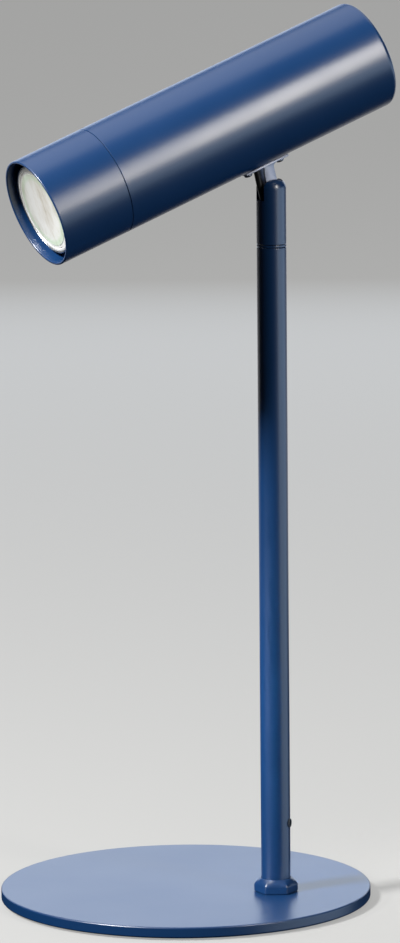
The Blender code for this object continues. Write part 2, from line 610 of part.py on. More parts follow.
def build_saddle(head_axis, bright, steel, nylon, rubber):
    """The bracket under the head: a curved plate with two leaves that hang into the swivel's slot."""
    half_angle = math.degrees(SADDLE_WIDTH / 2 / saddle_outer)
    strip = arc((0, 0), saddle_outer, 90 - half_angle, 90 + half_angle, 6)
    strip += arc((0, 0), saddle_inner, 90 + half_angle, 90 - half_angle, 6)
    saddle = piece("saddle_bracket", prism(strip, saddle_middle - SADDLE_LENGTH / 2,
                                           saddle_middle + SADDLE_LENGTH / 2), head_axis, bright)
    root = saddle_outer - SADDLE_THICKNESS / 2
    neck = pin_below_axis - LEAF_EYE_RADIUS
    waist = (root + 2 * neck) / 3
    middle = pin_from_front
    root_middle = middle + LEAF_ROOT_BACKSET
    leaf = [(root, root_middle - LEAF_WAIST_HALF), (root, root_middle + LEAF_ROOT_HALF),
            (saddle_outer + SADDLE_THICKNESS, root_middle + LEAF_WAIST_HALF),
            (waist, middle + LEAF_WAIST_HALF)]
    leaf += arc((pin_below_axis, middle), LEAF_EYE_RADIUS, 130, -130, 12)
    leaf += [(neck, middle - LEAF_WAIST_HALF)]
    for side, label in ((1, "near_leaf"), (-1, "far_leaf")):
        low, high = sorted((side * leaf_inner, side * leaf_outer))
        add(saddle, prism(leaf, low, high, ACROSS), label)
    pivot = at(0, pin_below_axis, middle) @ Matrix.Rotation(math.radians(90), 4, "Y")
    cut(saddle, rod(PIVOT_RADIUS + SEAT, -leaf_outer - OVERRUN, leaf_outer + OVERRUN, SMALL_FACETS, pivot),
        "pivot_hole")
    for side, label in ((-1, "front"), (1, "rear")):
        u = saddle_middle + side * SADDLE_SCREW_PITCH / 2
        down = at(0, 0, u) @ DOWNWARD
        cut(saddle, rod(M3_RADIUS + SEAT, saddle_inner - OVERRUN, saddle_outer + OVERRUN, SCREW_FACETS, down),
            f"{label}_screw_hole")
        pan_head_screw(f"saddle_screw_{label}", SADDLE_SCREW_LENGTH, head_axis, steel,
                       down @ at(0, 0, saddle_outer + SEAT))
    down = at(0, 0, lead_hole_u) @ DOWNWARD
    cut(saddle, rod(lead_hole_radius, saddle_inner - OVERRUN, saddle_outer + OVERRUN, SMALL_FACETS, down),
        "lead_hole")

    head_start = leaf_outer + SEAT
    head_end = head_start + PIVOT_HEAD_THICKNESS
    piece("pivot_pin", turned([
        (0, -head_end), (PIVOT_HEAD_RADIUS, -head_end), (PIVOT_HEAD_RADIUS, -head_start),
        (PIVOT_RADIUS, -head_start), (PIVOT_RADIUS, head_start), (PIVOT_HEAD_RADIUS, head_start),
        (PIVOT_HEAD_RADIUS, head_end), (0, head_end)], SMALL_FACETS, pivot), head_axis, steel)
    washer_far = leaf_inner - SEAT
    washer_near = washer_far - PIVOT_WASHER_THICKNESS
    for side, label in ((1, "near"), (-1, "far")):
        low, high = sorted((side * washer_near, side * washer_far))
        piece(f"pivot_washer_{label}", ring(PIVOT_RADIUS + SEAT, PIVOT_WASHER_RADIUS, low, high,
                                            SMALL_FACETS, pivot), head_axis, nylon)

    bore = lead_radius + SEAT
    neck_radius = bore + GROMMET_NECK_WALL
    flange_radius = neck_radius + GROMMET_FLANGE_WIDTH
    flange_top = foot_inner - SEAT - GROMMET_FLANGE_THICKNESS
    piece("lead_grommet", turned([
        (bore, flange_top), (flange_radius, flange_top),
        (flange_radius, foot_inner - SEAT), (neck_radius, foot_inner - SEAT),
        (neck_radius, head_radius), (bore, head_radius)], SMALL_FACETS, down), head_axis, rubber)
    return neck_radius + SEAT


def build_head_shell(head_axis, grommet_hole, paint, metal):
    seam = FRONT_SLEEVE_LENGTH
    inner_back = HEAD_LENGTH - HEAD_BACK_WALL
    round_centre = (head_radius - HEAD_BACK_ROUND, HEAD_LENGTH - HEAD_BACK_ROUND)
    housing = piece("rear_housing", turned(
        [(head_bore, seam + SEAT / 2), (head_radius, seam + SEAT / 2)]
        + arc(round_centre, HEAD_BACK_ROUND, 0, 90)
        + [(0, HEAD_LENGTH), (0, inner_back), (head_bore - HEAD_WALL, inner_back),
           (head_bore, inner_back - HEAD_WALL)], HEAD_FACETS), head_axis, paint)
    holes = {"lead": (lead_hole_u, grommet_hole)}
    for side, label in ((-1, "front"), (1, "rear")):
        holes[label] = (saddle_middle + side * SADDLE_SCREW_PITCH / 2, M3_RADIUS + SEAT)
    for label, (u, radius) in holes.items():
        cut(housing, rod(radius, head_bore - OVERRUN, head_radius + OVERRUN, SMALL_FACETS,
                         at(0, 0, u) @ DOWNWARD), f"{label}_hole")
    piece("coupling_ring", ring(head_bore - SEAT - COUPLING_WALL, head_bore - SEAT,
                                seam - COUPLING_FRONT_REACH, seam + COUPLING_BACK_REACH,
                                HEAD_FACETS), head_axis, metal)
    return holes


def build_front_sleeve(head_axis, paint):
    end = FRONT_SLEEVE_LENGTH - SEAT / 2
    piece("front_sleeve", turned([
        (head_bore, RIM_EDGE), (head_bore + RIM_EDGE, 0), (head_radius - RIM_EDGE, 0),
        (head_radius, RIM_EDGE), (head_radius, end), (head_bore, end)], HEAD_FACETS), head_axis, paint)


def build_holder_bracket(head_axis, holes, plated):
    half_foot = BRACKET_FOOT_WIDTH / 2
    half_top = BRACKET_UPRIGHT_WIDTH / 2
    wide_end = foot_outer - BRACKET_WIDE_DROP
    narrow_start = foot_outer - BRACKET_NARROW_DROP
    upright = [(-half_top, -BRACKET_RISE), (half_top, -BRACKET_RISE), (half_top, wide_end),
               (half_foot, narrow_start), (half_foot, foot_outer), (-half_foot, foot_outer),
               (-half_foot, narrow_start), (-half_top, wide_end)]
    bracket = piece("holder_bracket", prism(upright, upright_front, upright_back), head_axis, plated)
    foot = rectangle(-half_foot, half_foot, foot_inner, foot_outer)
    add(bracket, prism(foot, upright_front + BRACKET_THICKNESS / 2, foot_end), "foot")
    for label, (u, radius) in holes.items():
        cut(bracket, rod(radius, foot_inner - OVERRUN, foot_outer + OVERRUN, SMALL_FACETS,
                         at(0, 0, u) @ DOWNWARD), f"{label}_hole")
    cut(bracket, rod(M3_RADIUS + SEAT, foot_inner - OVERRUN, foot_outer + OVERRUN, SCREW_FACETS,
                     at(0, 0, block_screw_u()) @ DOWNWARD), "block_screw_hole")
    for side, label in ((-1, "upper"), (1, "lower")):
        centre = at(0, side * HOLDER_SCREW_PITCH / 2, 0)
        cut(bracket, rod(M3_RADIUS + SEAT, upright_front - OVERRUN, upright_back + OVERRUN, SCREW_FACETS,
                         centre), f"{label}_screw_hole")
    for side, label in ((-1, "live"), (1, "neutral")):
        cut(bracket, rod(CORE_WINDOW_RADIUS, upright_front - OVERRUN, upright_back + OVERRUN, SCREW_FACETS,
                         at(side * pin_x, 0, 0)), f"{label}_window")


def block_screw_u():
    return block_front + BLOCK_LENGTH - BLOCK_SCREW_INSET


def pin_channel(half_width, side):
    """The kidney that a lamp pin sweeps through when the lamp is twisted."""
    start = 0 if side > 0 else 180
    end = start - math.degrees(LAMP_TWIST)
    first = (pin_x * math.cos(math.radians(start)), pin_x * math.sin(math.radians(start)))
    last = (pin_x * math.cos(math.radians(end)), pin_x * math.sin(math.radians(end)))
    points = arc((0, 0), pin_x + half_width, start, end)[1:-1]
    points += arc(last, half_width, end, end - 180, 8)
    points += arc((0, 0), pin_x - half_width, end, start)[1:-1]
    points += arc(first, half_width, start + 180, start, 8)
    return points


def build_lampholder(head_axis, ceramic, steel, brass):
    edge = HOLDER_FRONT_WALL / 4
    holder = piece("lampholder", turned([
        (0, holder_front), (HOLDER_RADIUS - edge, holder_front), (HOLDER_RADIUS, holder_front + edge),
        (HOLDER_RADIUS, holder_back), (0, holder_back)], POST_FACETS), head_axis, ceramic)
    pocket = LAMP_PIN_HEAD_RADIUS + HOLDER_POCKET_CLEARANCE
    for side, label in ((-1, "live"), (1, "neutral")):
        cut(holder, prism(pin_channel(pocket, side), pocket_front, pocket_back), f"{label}_pocket")
        cut(holder, prism(pin_channel(LAMP_PIN_RADIUS + SEAT, side), holder_front - OVERRUN,
                          pocket_front + SEAT), f"{label}_slot")
        turn = Matrix.Rotation(-LAMP_TWIST, 4, "Z") @ at(side * pin_x, 0, 0)
        cut(holder, rod(pocket, holder_front - OVERRUN, pocket_front + SEAT, SMALL_FACETS, turn),
            f"{label}_entry")
        cut(holder, rod(core_radius + SEAT, pocket_back - SEAT, holder_back + OVERRUN, SCREW_FACETS,
                        at(side * pin_x, 0, 0)), f"{label}_core_hole")
        contact_back = pocket_back - SEAT
        piece(f"contact_{label}", rod(CONTACT_RADIUS, contact_back - CONTACT_THICKNESS, contact_back,
                                      SCREW_FACETS, at(side * pin_x, 0, 0)), head_axis, brass)
    for side, label in ((-1, "upper"), (1, "lower")):
        y = side * HOLDER_SCREW_PITCH / 2
        head_plane = upright_back + SEAT
        cut(holder, rod(M3_RADIUS + SEAT, head_plane - HOLDER_SCREW_LENGTH - SEAT, holder_back + OVERRUN,
                        SCREW_FACETS, at(0, y, 0)), f"{label}_screw_hole")
        pan_head_screw(f"holder_screw_{label}", HOLDER_SCREW_LENGTH, head_axis, steel,
                       at(0, y, head_plane))


def build_terminals(head_axis, plastic, brass, steel):
    half = BLOCK_WIDTH / 2
    body = rectangle(-half, half, block_top, block_bottom)
    block = piece("terminal_block", prism(body, block_front, block_front + BLOCK_LENGTH), head_axis, plastic)
    well_radius = M3_RADIUS + SEAT
    well_u = block_front + BLOCK_SCREW_INSET
    for side, label in ((-1, "live"), (1, "neutral")):
        x = side * pole_x
        cut(block, rod(core_radius + SEAT, block_front - OVERRUN, block_front + BLOCK_LENGTH + OVERRUN,
                       SCREW_FACETS, at(x, block_core_w, 0)), f"{label}_bore")
        down = at(x, 0, well_u) @ DOWNWARD
        cut(block, rod(well_radius, block_top - OVERRUN, block_core_w, SCREW_FACETS, down), f"{label}_well")
        screw_end = block_core_w - core_radius - SEAT
        piece(f"terminal_screw_{label}", rod(M3_RADIUS, screw_end - TERMINAL_SCREW_LENGTH, screw_end,
                                             SCREW_FACETS, down), head_axis, brass)
    down = at(0, 0, block_screw_u()) @ DOWNWARD
    seat = foot_outer - BLOCK_SCREW_LENGTH
    cut(block, rod(well_radius, seat - OVERRUN, block_bottom + OVERRUN, SCREW_FACETS, down), "screw_hole")
    cut(block, rod(M3_HEAD_RADIUS + SEAT, block_top - OVERRUN, seat, SMALL_FACETS, down), "screw_well")
    flip = Matrix.Rotation(math.radians(180), 4, "X")
    pan_head_screw("block_screw", BLOCK_SCREW_LENGTH - 2 * SEAT, head_axis, steel,
                   down @ at(0, 0, seat - SEAT) @ flip)


def build_head_leads(head_axis, flex, brown, blue):
    across = block_core_w
    low = pin_below_axis - LEAF_REACH - SADDLE_THICKNESS / 4 - SEAT
    lead("head_lead", [
        (0, low, lead_hole_u), (0, foot_inner - 2 * SEAT - GROMMET_FLANGE_THICKNESS, lead_hole_u),
        (0, (foot_inner + across) / 2 - GROMMET_FLANGE_THICKNESS, lead_hole_u + LEAD_BEND * 0.3),
        (0, across - GROMMET_FLANGE_THICKNESS / 2, lead_hole_u + LEAD_BEND * 1.6),
        (0, across, lead_hole_u + LEAD_BEND * 4), (0, across, block_front - SEAT)],
        LEAD_DIAMETER, head_axis, flex)
    contact_back = pocket_back - SEAT
    start = contact_back + SEAT
    run = block_front - upright_back
    for side, label, mat in ((-1, "live", brown), (1, "neutral", blue)):
        lead(f"lead_{label}", [
            (side * pin_x, 0, start), (side * pin_x, 0, upright_back),
            (side * pin_x, 0, upright_back + CORE_DIAMETER * 2),
            (side * pole_x, across * 0.35, upright_back + run * 0.2),
            (side * pole_x, across * 0.8, upright_back + run * 0.5),
            (side * pole_x, across, upright_back + run * 0.8),
            (side * pole_x, across, block_front + BLOCK_SCREW_INSET)], CORE_DIAMETER, head_axis, mat)


def build_lamp(head_axis, glass, silvered, ceramic, brass, quartz):
    piece("lamp_lens", turned([
        (0, lens_front - LENS_EDGE / 2), (lens_radius - LENS_EDGE, lens_front),
        (lens_radius, lens_front + LENS_EDGE), (lens_radius, lens_front + LENS_THICKNESS),
        (0, lens_front + LENS_THICKNESS)], LAMP_FACETS), head_axis, glass)
    bowl = []
    for i in range(REFLECTOR_STEPS + 1):
        radius = bowl_mouth_radius + (REFLECTOR_NECK_RADIUS - bowl_mouth_radius) * i / REFLECTOR_STEPS
        bowl.append((radius, bowl_vertex_u - radius ** 2 / (4 * REFLECTOR_FOCUS)))
    rim_inner = lamp_radius - LAMP_RIM_WALL
    neck_outer = REFLECTOR_NECK_RADIUS + REFLECTOR_NECK_WALL
    shell = [(radius + REFLECTOR_WALL, u + REFLECTOR_WALL / 2) for radius, u in bowl[1:-1]]
    shell = [(radius, u) for radius, u in shell if radius > neck_outer]
    piece("lamp_reflector", turned(
        [(rim_inner, LAMP_RECESS), (rim_inner, bowl_mouth_u)] + bowl
        + [(REFLECTOR_NECK_RADIUS, neck_end_u), (neck_outer, neck_end_u), (neck_outer, neck_start_u)]
        + shell[::-1] + [(lamp_radius, LAMP_RECESS + LAMP_RIM_DEPTH), (lamp_radius, LAMP_RECESS)],
        LAMP_FACETS), head_axis, silvered)
    cup = neck_outer + SEAT
    base = piece("lamp_base", turned([
        (cup, lamp_base_floor - LAMP_BASE_LAP), (cup + LAMP_BASE_WALL, lamp_base_floor - LAMP_BASE_LAP),
        (LAMP_BASE_RADIUS, lamp_base_end), (0, lamp_base_end), (0, lamp_base_floor),
        (cup, lamp_base_floor)], POST_FACETS), head_axis, ceramic)
    for side, label in ((-1, 1), (1, 2)):
        centre = at(side * pin_x, 0, 0)
        cut(base, rod(LAMP_PIN_RADIUS + SEAT, lamp_base_end - LAMP_PIN_GRIP - SEAT, lamp_base_end + OVERRUN,
                      SCREW_FACETS, centre), f"pin_hole_{label}")
        tip = lamp_base_end + LAMP_PIN_LENGTH
        piece(f"lamp_pin_{label}", turned([
            (0, lamp_base_end - LAMP_PIN_GRIP), (LAMP_PIN_RADIUS, lamp_base_end - LAMP_PIN_GRIP),
            (LAMP_PIN_RADIUS, tip - LAMP_PIN_HEAD_LENGTH), (LAMP_PIN_HEAD_RADIUS, tip - LAMP_PIN_HEAD_LENGTH),
            (LAMP_PIN_HEAD_RADIUS, tip), (0, tip)], SCREW_FACETS, centre), head_axis, brass)
    tip_centre = (0, neck_end_u - CAPSULE_LENGTH + CAPSULE_RADIUS)
    piece("lamp_capsule", turned(
        arc(tip_centre, CAPSULE_RADIUS, -90, 0) + [(CAPSULE_RADIUS, neck_end_u), (0, neck_end_u)],
        SCREW_FACETS), head_axis, quartz)


def build():
    clear_scene()
    paint = finish_material("blue_paint", (0.02, 0.06, 0.17), 0.4, 0.0)
    bright = finish_material("bright_steel", (0.62, 0.64, 0.68), 0.3, 1.0)
    steel = finish_material("plated_steel", (0.5, 0.5, 0.52), 0.35, 1.0)
    plated = finish_material("bracket_steel", (0.45, 0.45, 0.46), 0.4, 1.0)
    metal = finish_material("bare_aluminium", (0.6, 0.6, 0.62), 0.4, 1.0)
    brass = finish_material("brass", (0.55, 0.4, 0.16), 0.35, 1.0)
    foam = finish_material("black_foam", (0.02, 0.02, 0.02), 0.9, 0.0)
    rubber = finish_material("black_rubber", (0.02, 0.02, 0.02), 0.7, 0.0)
    nylon = finish_material("white_nylon", (0.7, 0.7, 0.66), 0.5, 0.0)
    flex = finish_material("black_flex", (0.02, 0.02, 0.02), 0.5, 0.0)
    brown = finish_material("brown_core", (0.12, 0.05, 0.02), 0.5, 0.0)
    blue = finish_material("blue_core", (0.02, 0.12, 0.4), 0.5, 0.0)
    ceramic = finish_material("white_ceramic", (0.75, 0.74, 0.7), 0.5, 0.0)
    plastic = finish_material("white_plastic", (0.7, 0.7, 0.7), 0.5, 0.0)
    glass = finish_material("clear_glass", (0.9, 0.95, 0.95), 0.05, 0.0, 0.35)
    quartz = finish_material("quartz", (0.9, 0.9, 0.9), 0.05, 0.0, 0.35)
    silvered = finish_material("silvered_glass", (0.85, 0.87, 0.88), 0.15, 1.0)

    stand = empty("stand", None, (0, 0, 0))
    post_place = (POST_OFFSET * math.cos(POST_BEARING), POST_OFFSET * math.sin(POST_BEARING), 0)
    post_axis = empty("post_axis", stand, post_place)
    pan_axis = empty("pan_axis", post_axis, (0, 0, 0))
    tilt_axis = empty("tilt_axis", pan_axis, (0, 0, pin_z), REST_TILT)
    # On the head's axis: x runs across, y away from the axis towards the pivot, z back from the rim
    head_axis = empty("head_axis", tilt_axis, (0, -pin_from_front, pin_below_axis), math.radians(-90))

    build_base(stand, post_axis, paint, steel, foam)
    build_foot_collar(post_axis, paint)
    build_post(post_axis, paint, rubber, nylon, brass, steel, flex)
    build_swivel(pan_axis, paint, brass, steel, flex)
    grommet_hole = build_saddle(head_axis, bright, steel, nylon, rubber)
    holes = build_head_shell(head_axis, grommet_hole, paint, metal)
    build_front_sleeve(head_axis, paint)
    build_holder_bracket(head_axis, holes, plated)
    build_lampholder(head_axis, ceramic, steel, brass)
    build_terminals(head_axis, plastic, brass, steel)
    build_head_leads(head_axis, flex, brown, blue)
    build_lamp(head_axis, glass, silvered, ceramic, brass, quartz)
    bpy.context.view_layer.update()


build()
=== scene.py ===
"""The finished look of a table lamp: a tubular spot head on a slim post and a round base plate."""

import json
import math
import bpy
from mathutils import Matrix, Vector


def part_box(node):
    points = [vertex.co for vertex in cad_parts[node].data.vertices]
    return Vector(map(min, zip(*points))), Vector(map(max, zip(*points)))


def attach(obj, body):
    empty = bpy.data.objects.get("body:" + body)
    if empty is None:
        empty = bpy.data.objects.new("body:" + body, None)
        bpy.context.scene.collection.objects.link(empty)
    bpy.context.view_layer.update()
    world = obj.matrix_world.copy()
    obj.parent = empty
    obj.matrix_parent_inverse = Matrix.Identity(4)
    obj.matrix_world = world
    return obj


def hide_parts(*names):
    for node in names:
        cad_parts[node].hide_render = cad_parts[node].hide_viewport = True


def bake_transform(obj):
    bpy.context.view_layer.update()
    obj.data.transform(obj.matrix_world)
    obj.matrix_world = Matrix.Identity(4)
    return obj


bl_info = {
    "name": "Table lamp finish",
    "version": (1, 0, 0),
    "blender": (4, 5, 0),
    "location": "3D View > Sidebar > Lamp",
    "description": "Builds the fine surfaces, finishes and studio of a table lamp",
    "category": "Object",
}

import bmesh
import bpy
from bpy.props import FloatProperty, FloatVectorProperty, PointerProperty
from mathutils import Matrix, Vector

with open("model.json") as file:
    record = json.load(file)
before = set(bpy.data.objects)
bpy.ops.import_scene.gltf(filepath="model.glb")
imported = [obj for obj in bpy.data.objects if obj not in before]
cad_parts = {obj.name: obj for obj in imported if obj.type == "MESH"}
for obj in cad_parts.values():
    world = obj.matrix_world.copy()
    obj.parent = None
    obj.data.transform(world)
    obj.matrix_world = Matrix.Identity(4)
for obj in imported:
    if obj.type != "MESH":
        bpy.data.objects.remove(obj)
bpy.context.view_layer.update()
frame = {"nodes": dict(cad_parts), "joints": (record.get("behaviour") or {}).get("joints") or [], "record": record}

MM = 0.001
joints = {joint["name"]: joint for joint in frame["joints"]}
head_back = Vector(joints["lamp_twist"]["axis"]).normalized()
head_front = Vector(joints["lamp_twist"]["pos_m"])
pivot = Vector(joints["tilt"]["pos_m"])
post_place = Vector((pivot.x, pivot.y, 0))
across = Vector((1, 0, 0))
head_down = head_back.cross(across)

# On the head's axis: x runs across, y down from the axis and z back from the rim
HEAD = Matrix.Translation(head_front) @ Matrix((across, head_down, head_back)).transposed().to_4x4()
POST = Matrix.Translation(post_place)
DOWNWARD = Matrix(((1, 0, 0), (0, 0, 1), (0, -1, 0))).to_4x4()
SIDEWAYS = Matrix(((0, 0, 1), (1, 0, 0), (0, 1, 0))).to_4x4()

MERGE_DISTANCE = 0.001 * MM
SHARP_ANGLE = math.radians(32)
# Steps round a turned piece: large, medium and small ones
FINE_STEPS, ROUND_STEPS, SMALL_STEPS = 160, 96, 40

# Places and sizes at which pieces meet
LENS_RADIUS = 23.9 * MM
LEAD_RADIUS = 1.8 * MM
LEAD_HOLE_FORWARD = 4.2 * MM
PIN_BACK, PIN_BELOW = 132.5 * MM, 46.0 * MM

# Rings of the front glass: share of its radius, and the tint there
LENS_RINGS = (
    (0.0, (0.96, 0.95, 0.92)), (0.5, (1.0, 1.0, 0.97)), (0.70, (0.97, 0.99, 0.94)),
    (0.78, (0.74, 0.90, 0.70)), (0.86, (0.80, 0.93, 0.76)), (0.89, (1.0, 1.0, 1.0)))

# Soft lights: compass angle and elevation in degrees, distance and size in metres, power and colour
LAMP_MIDDLE = Vector((0, 0, 0.25))
WHITE = (1, 1, 1)
SOFT_LIGHTS = (
    ("key_light", -84, 42, 2.0, (0.36, 0.36), "key_power", WHITE),
    ("band_light", 20, 23.5, 1.5, (0.22, 0.75), "band_power", (1, 0.95, 0.88)),
    ("side_panel", 57, -7.2, 5.0, (7.5, 1.8), "side_power", (0.60, 0.78, 1)),
    ("back_panel", 153, 12, 2.4, (3.6, 1.0), "back_power", (0.78, 0.87, 1)),
    ("top_panel", 165, 66, 2.0, (3.0, 2.0), "top_power", WHITE))
LOW_FILL_HEIGHT = 0.105
LOW_FILL_SPREAD = math.radians(18)
GLOW_ANGLE, GLOW_DISTANCE, GLOW_SIZE = 153, 1.7, (3.4, 2.0)


def low(node):
    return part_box(node)[0]


def high(node):
    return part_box(node)[1]


def length_property(name, description, default):
    return FloatProperty(name=name, description=description, default=default, unit="LENGTH",
                         min=0.0, precision=5)


def colour_property(name, description, default):
    return FloatVectorProperty(name=name, description=description, default=default, size=3,
                               subtype="COLOR", min=0.0, max=1.0)


class LampSizes(bpy.types.PropertyGroup):
    base_radius: length_property("Base radius", "Radius of the base plate", high("base_plate").x)
    base_edge: length_property("Base edge", "Rounding of the base plate's edges", 0.9 * MM)
    collar_flats: length_property("Collar flats", "Width of the foot collar across its flats", 21.0 * MM)
    collar_flat_height: length_property("Collar flat height", "Height of the collar's six flats", 3.5 * MM)
    collar_lip: length_property("Collar lip", "Flat lip left round the post", 0.6 * MM)
    collar_turn: FloatProperty(name="Collar turn", description="How far the collar is screwed round",
                               default=math.radians(3.4), subtype="ANGLE")
    post_radius: length_property("Post radius", "Outer radius of the post",
                                 (high("post_tube").x - low("post_tube").x) / 2)
    post_wall: length_property("Post wall", "Wall of the post tube", 1.5 * MM)
    sleeve_wall: length_property("Sleeve wall", "Wall of the swivel sleeve", 1.25 * MM)
    dome_radius: length_property("Dome radius", "Rounding of the swivel sleeve's top", 5.0 * MM)
    sleeve_top: length_property("Sleeve top", "Height of the swivel sleeve's top", 399.7 * MM)
    slot_width: length_property("Slot width", "Width of the slot in the sleeve", 8.8 * MM)
    slot_depth: length_property("Slot depth", "Depth of the slot from the sleeve's top", 11.7 * MM)
    slot_back: length_property("Slot back", "How far the slot runs past the pivot", 5.2 * MM)
    head_radius: length_property("Head radius", "Outer radius of the head",
                                 (high("rear_housing").x - low("rear_housing").x) / 2)
    head_length: length_property("Head length", "Length of the head from rim to back", 212.0 * MM)
    head_wall: length_property("Head wall", "Wall of the head's tube", 1.5 * MM)
    head_back_wall: length_property("Head back wall", "Thickness of the head's closed back", 2.0 * MM)
    back_round: length_property("Back rounding", "Rounding of the head's back edge", 2.5 * MM)
    seam: length_property("Seam", "Distance of the seam from the rim", 42.0 * MM)
    seam_gap: length_property("Seam gap", "Width of the seam", 0.3 * MM)
    rim_edge: length_property("Rim edge", "Rounding of the front rim", 0.6 * MM)
    fit: length_property("Fit", "Gap between pieces that touch", 0.3 * MM)


class LampFinishes(bpy.types.PropertyGroup):
    paint: colour_property("Paint", "Blue of the painted metal", (0.0022, 0.036, 0.130))
    paint_light: colour_property("Paint, light", "Lighter specks in the paint", (0.0044, 0.044, 0.152))
    bright_steel: colour_property("Bright steel", "Satin steel of the bracket", (0.38, 0.41, 0.50))
    lens: colour_property("Lens", "Tint of the lamp's front glass", (0.98, 0.98, 0.97))
    floor: colour_property("Floor", "Pale studio floor", (0.26, 0.26, 0.255))
    backdrop: colour_property("Backdrop", "Even light of the pale surroundings", (0.36, 0.36, 0.355))
    paint_roughness: FloatProperty(name="Paint roughness", description="Satin of the paint",
                                   default=0.32, min=0.0, max=1.0)


class LampStage(bpy.types.PropertyGroup):
    camera_place: FloatVectorProperty(name="Camera place", description="Where the camera stands",
                                      default=(3.1779, -1.5893, 0.8293), size=3, subtype="TRANSLATION")
    camera_aim: FloatVectorProperty(name="Camera aim", description="The point the camera looks at",
                                    default=(0.0, 0.0, 0.25), size=3, subtype="TRANSLATION")
    camera_shift: FloatVectorProperty(name="Camera shift",
                                      description="Shift of the frame, in frame heights",
                                      default=(0.01926, -0.02409), size=2)
    camera_roll: FloatProperty(name="Camera roll", description="Roll of the camera about its view",
                               default=math.radians(-0.53), subtype="ANGLE")
    lens_length: FloatProperty(name="Lens length", description="Focal length of the camera in millimetres",
                               default=252.6, min=1.0)
    key_power: FloatProperty(name="Key power", description="Soft light above the front of the lamp",
                             default=64.0, min=0.0)
    band_power: FloatProperty(name="Band power", description="Narrow light that draws a band on the head",
                              default=7.6, min=0.0)
    side_power: FloatProperty(name="Side power", description="Soft panel beside the post",
                              default=56.0, min=0.0)
    low_power: FloatProperty(name="Low power", description="Gridded light on the lower part of the post",
                             default=0.055, min=0.0)
    back_power: FloatProperty(name="Back power", description="Wide panel behind the lamp",
                              default=20.0, min=0.0)
    top_power: FloatProperty(name="Top power", description="Broad panel above and behind the lamp",
                             default=14.0, min=0.0)
    glow_power: FloatProperty(name="Glow power", description="Bright floor behind the lamp",
                              default=12.0, min=0.0)


# Mesh helpers


def arc(centre, radius, start, end, steps=6):
    """Points of an arc in the plane of an outline, in degrees."""
    points = []
    for i in range(steps + 1):
        angle = math.radians(start + (end - start) * i / steps)
        points.append((centre[0] + radius * math.cos(angle), centre[1] + radius * math.sin(angle)))
    return points


def held(outline):
    """Add points close to the ends of long straight runs, so that they stay straight in the light."""
    long_run, margin = 1.5 * MM, 0.15 * MM
    points = []
    for i, point in enumerate(outline):
        following = outline[(i + 1) % len(outline)]
        run = math.dist(point, following)
        points.append(point)
        if run > long_run and max(point[0], following[0]) > 0:
            for share in (margin / run, 1 - margin / run):
                points.append(tuple(a + (b - a) * share for a, b in zip(point, following)))
    return points


def turned(outline, steps=ROUND_STEPS, place=Matrix.Identity(4)):
    """Spin a closed outline of (radius, height) points into a body about Z."""
    bm = bmesh.new()
    verts = [bm.verts.new((radius, 0, height)) for radius, height in held(outline)]
    for i, vert in enumerate(verts):
        following = verts[(i + 1) % len(verts)]
        if vert.co.x > 0 or following.co.x > 0:
            bm.edges.new((vert, following))
    bmesh.ops.spin(bm, geom=bm.verts[:] + bm.edges[:], cent=(0, 0, 0), axis=(0, 0, 1),
                   angle=math.tau, steps=steps, use_merge=True)
    bmesh.ops.remove_doubles(bm, verts=bm.verts, dist=MERGE_DISTANCE)
    bmesh.ops.transform(bm, matrix=place, verts=bm.verts)
    bmesh.ops.recalc_face_normals(bm, faces=bm.faces)
    return bm


def rounded_ring(inner, outer, bottom, top, edge, steps=ROUND_STEPS, place=Matrix.Identity(4)):
    """A tube with softly rounded edges."""
    outline = arc((outer - edge, bottom + edge), edge, -90, 0, 3)
    outline += arc((outer - edge, top - edge), edge, 0, 90, 3)
    outline += arc((inner + edge, top - edge), edge, 90, 180, 3)
    outline += arc((inner + edge, bottom + edge), edge, 180, 270, 3)
    return turned(outline, steps, place)


def extruded(outline, bottom, top, place=Matrix.Identity(4)):
    """A flat outline given a thickness."""
    bm = bmesh.new()
    face = bm.faces.new([bm.verts.new((a, b, bottom)) for a, b in outline])
    result = bmesh.ops.extrude_face_region(bm, geom=[face])
    raised = [item for item in result["geom"] if isinstance(item, bmesh.types.BMVert)]
    bmesh.ops.translate(bm, vec=(0, 0, top - bottom), verts=raised)
    bmesh.ops.transform(bm, matrix=place, verts=bm.verts)
    bmesh.ops.recalc_face_normals(bm, faces=bm.faces)
    return bm


def soften(bm, width, segments=3, angle=40):
    """Round every edge that is sharper than the angle."""
    limit = math.radians(angle)
    edges = [edge for edge in bm.edges if edge.is_manifold and edge.calc_face_angle() > limit]
    bmesh.ops.bevel(bm, geom=edges, offset=width, offset_type="OFFSET", affect="EDGES",
                    segments=segments, profile=0.5, material=-1, clamp_overlap=True)
    return bm


def mesh_object(name, bm):
    mesh = bpy.data.meshes.new(name)
    bm.to_mesh(mesh)
    bm.free()
    mesh.shade_smooth()
    mesh.set_sharp_from_angle(angle=SHARP_ANGLE)
    obj = bpy.data.objects.new(name, mesh)
    bpy.context.scene.collection.objects.link(obj)
    return obj


def boolean(obj, bm, operation):
    """Join or cut with a second shape and keep the result."""
    tool = mesh_object(f"{obj.name}_tool", bm)
    modifier = obj.modifiers.new("shape", "BOOLEAN")
    modifier.operation = operation
    modifier.object = tool
    bpy.context.view_layer.update()
    shaped = bpy.data.meshes.new_from_object(obj.evaluated_get(bpy.context.evaluated_depsgraph_get()))
    obj.modifiers.clear()
    obj.data = shaped
    bpy.data.objects.remove(tool, do_unlink=True)
    shaped.shade_smooth()
    shaped.set_sharp_from_angle(angle=SHARP_ANGLE)
    return obj


def settle(obj, body, material, slot, *nodes):
    """Give a finished piece its finish and its body, and hide the CAD nodes that it stands for."""
    obj.data.materials.clear()
    obj.data.materials.append(material)
    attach(obj, body)
    if nodes:
        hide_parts(*nodes)
    return obj


# Finishes


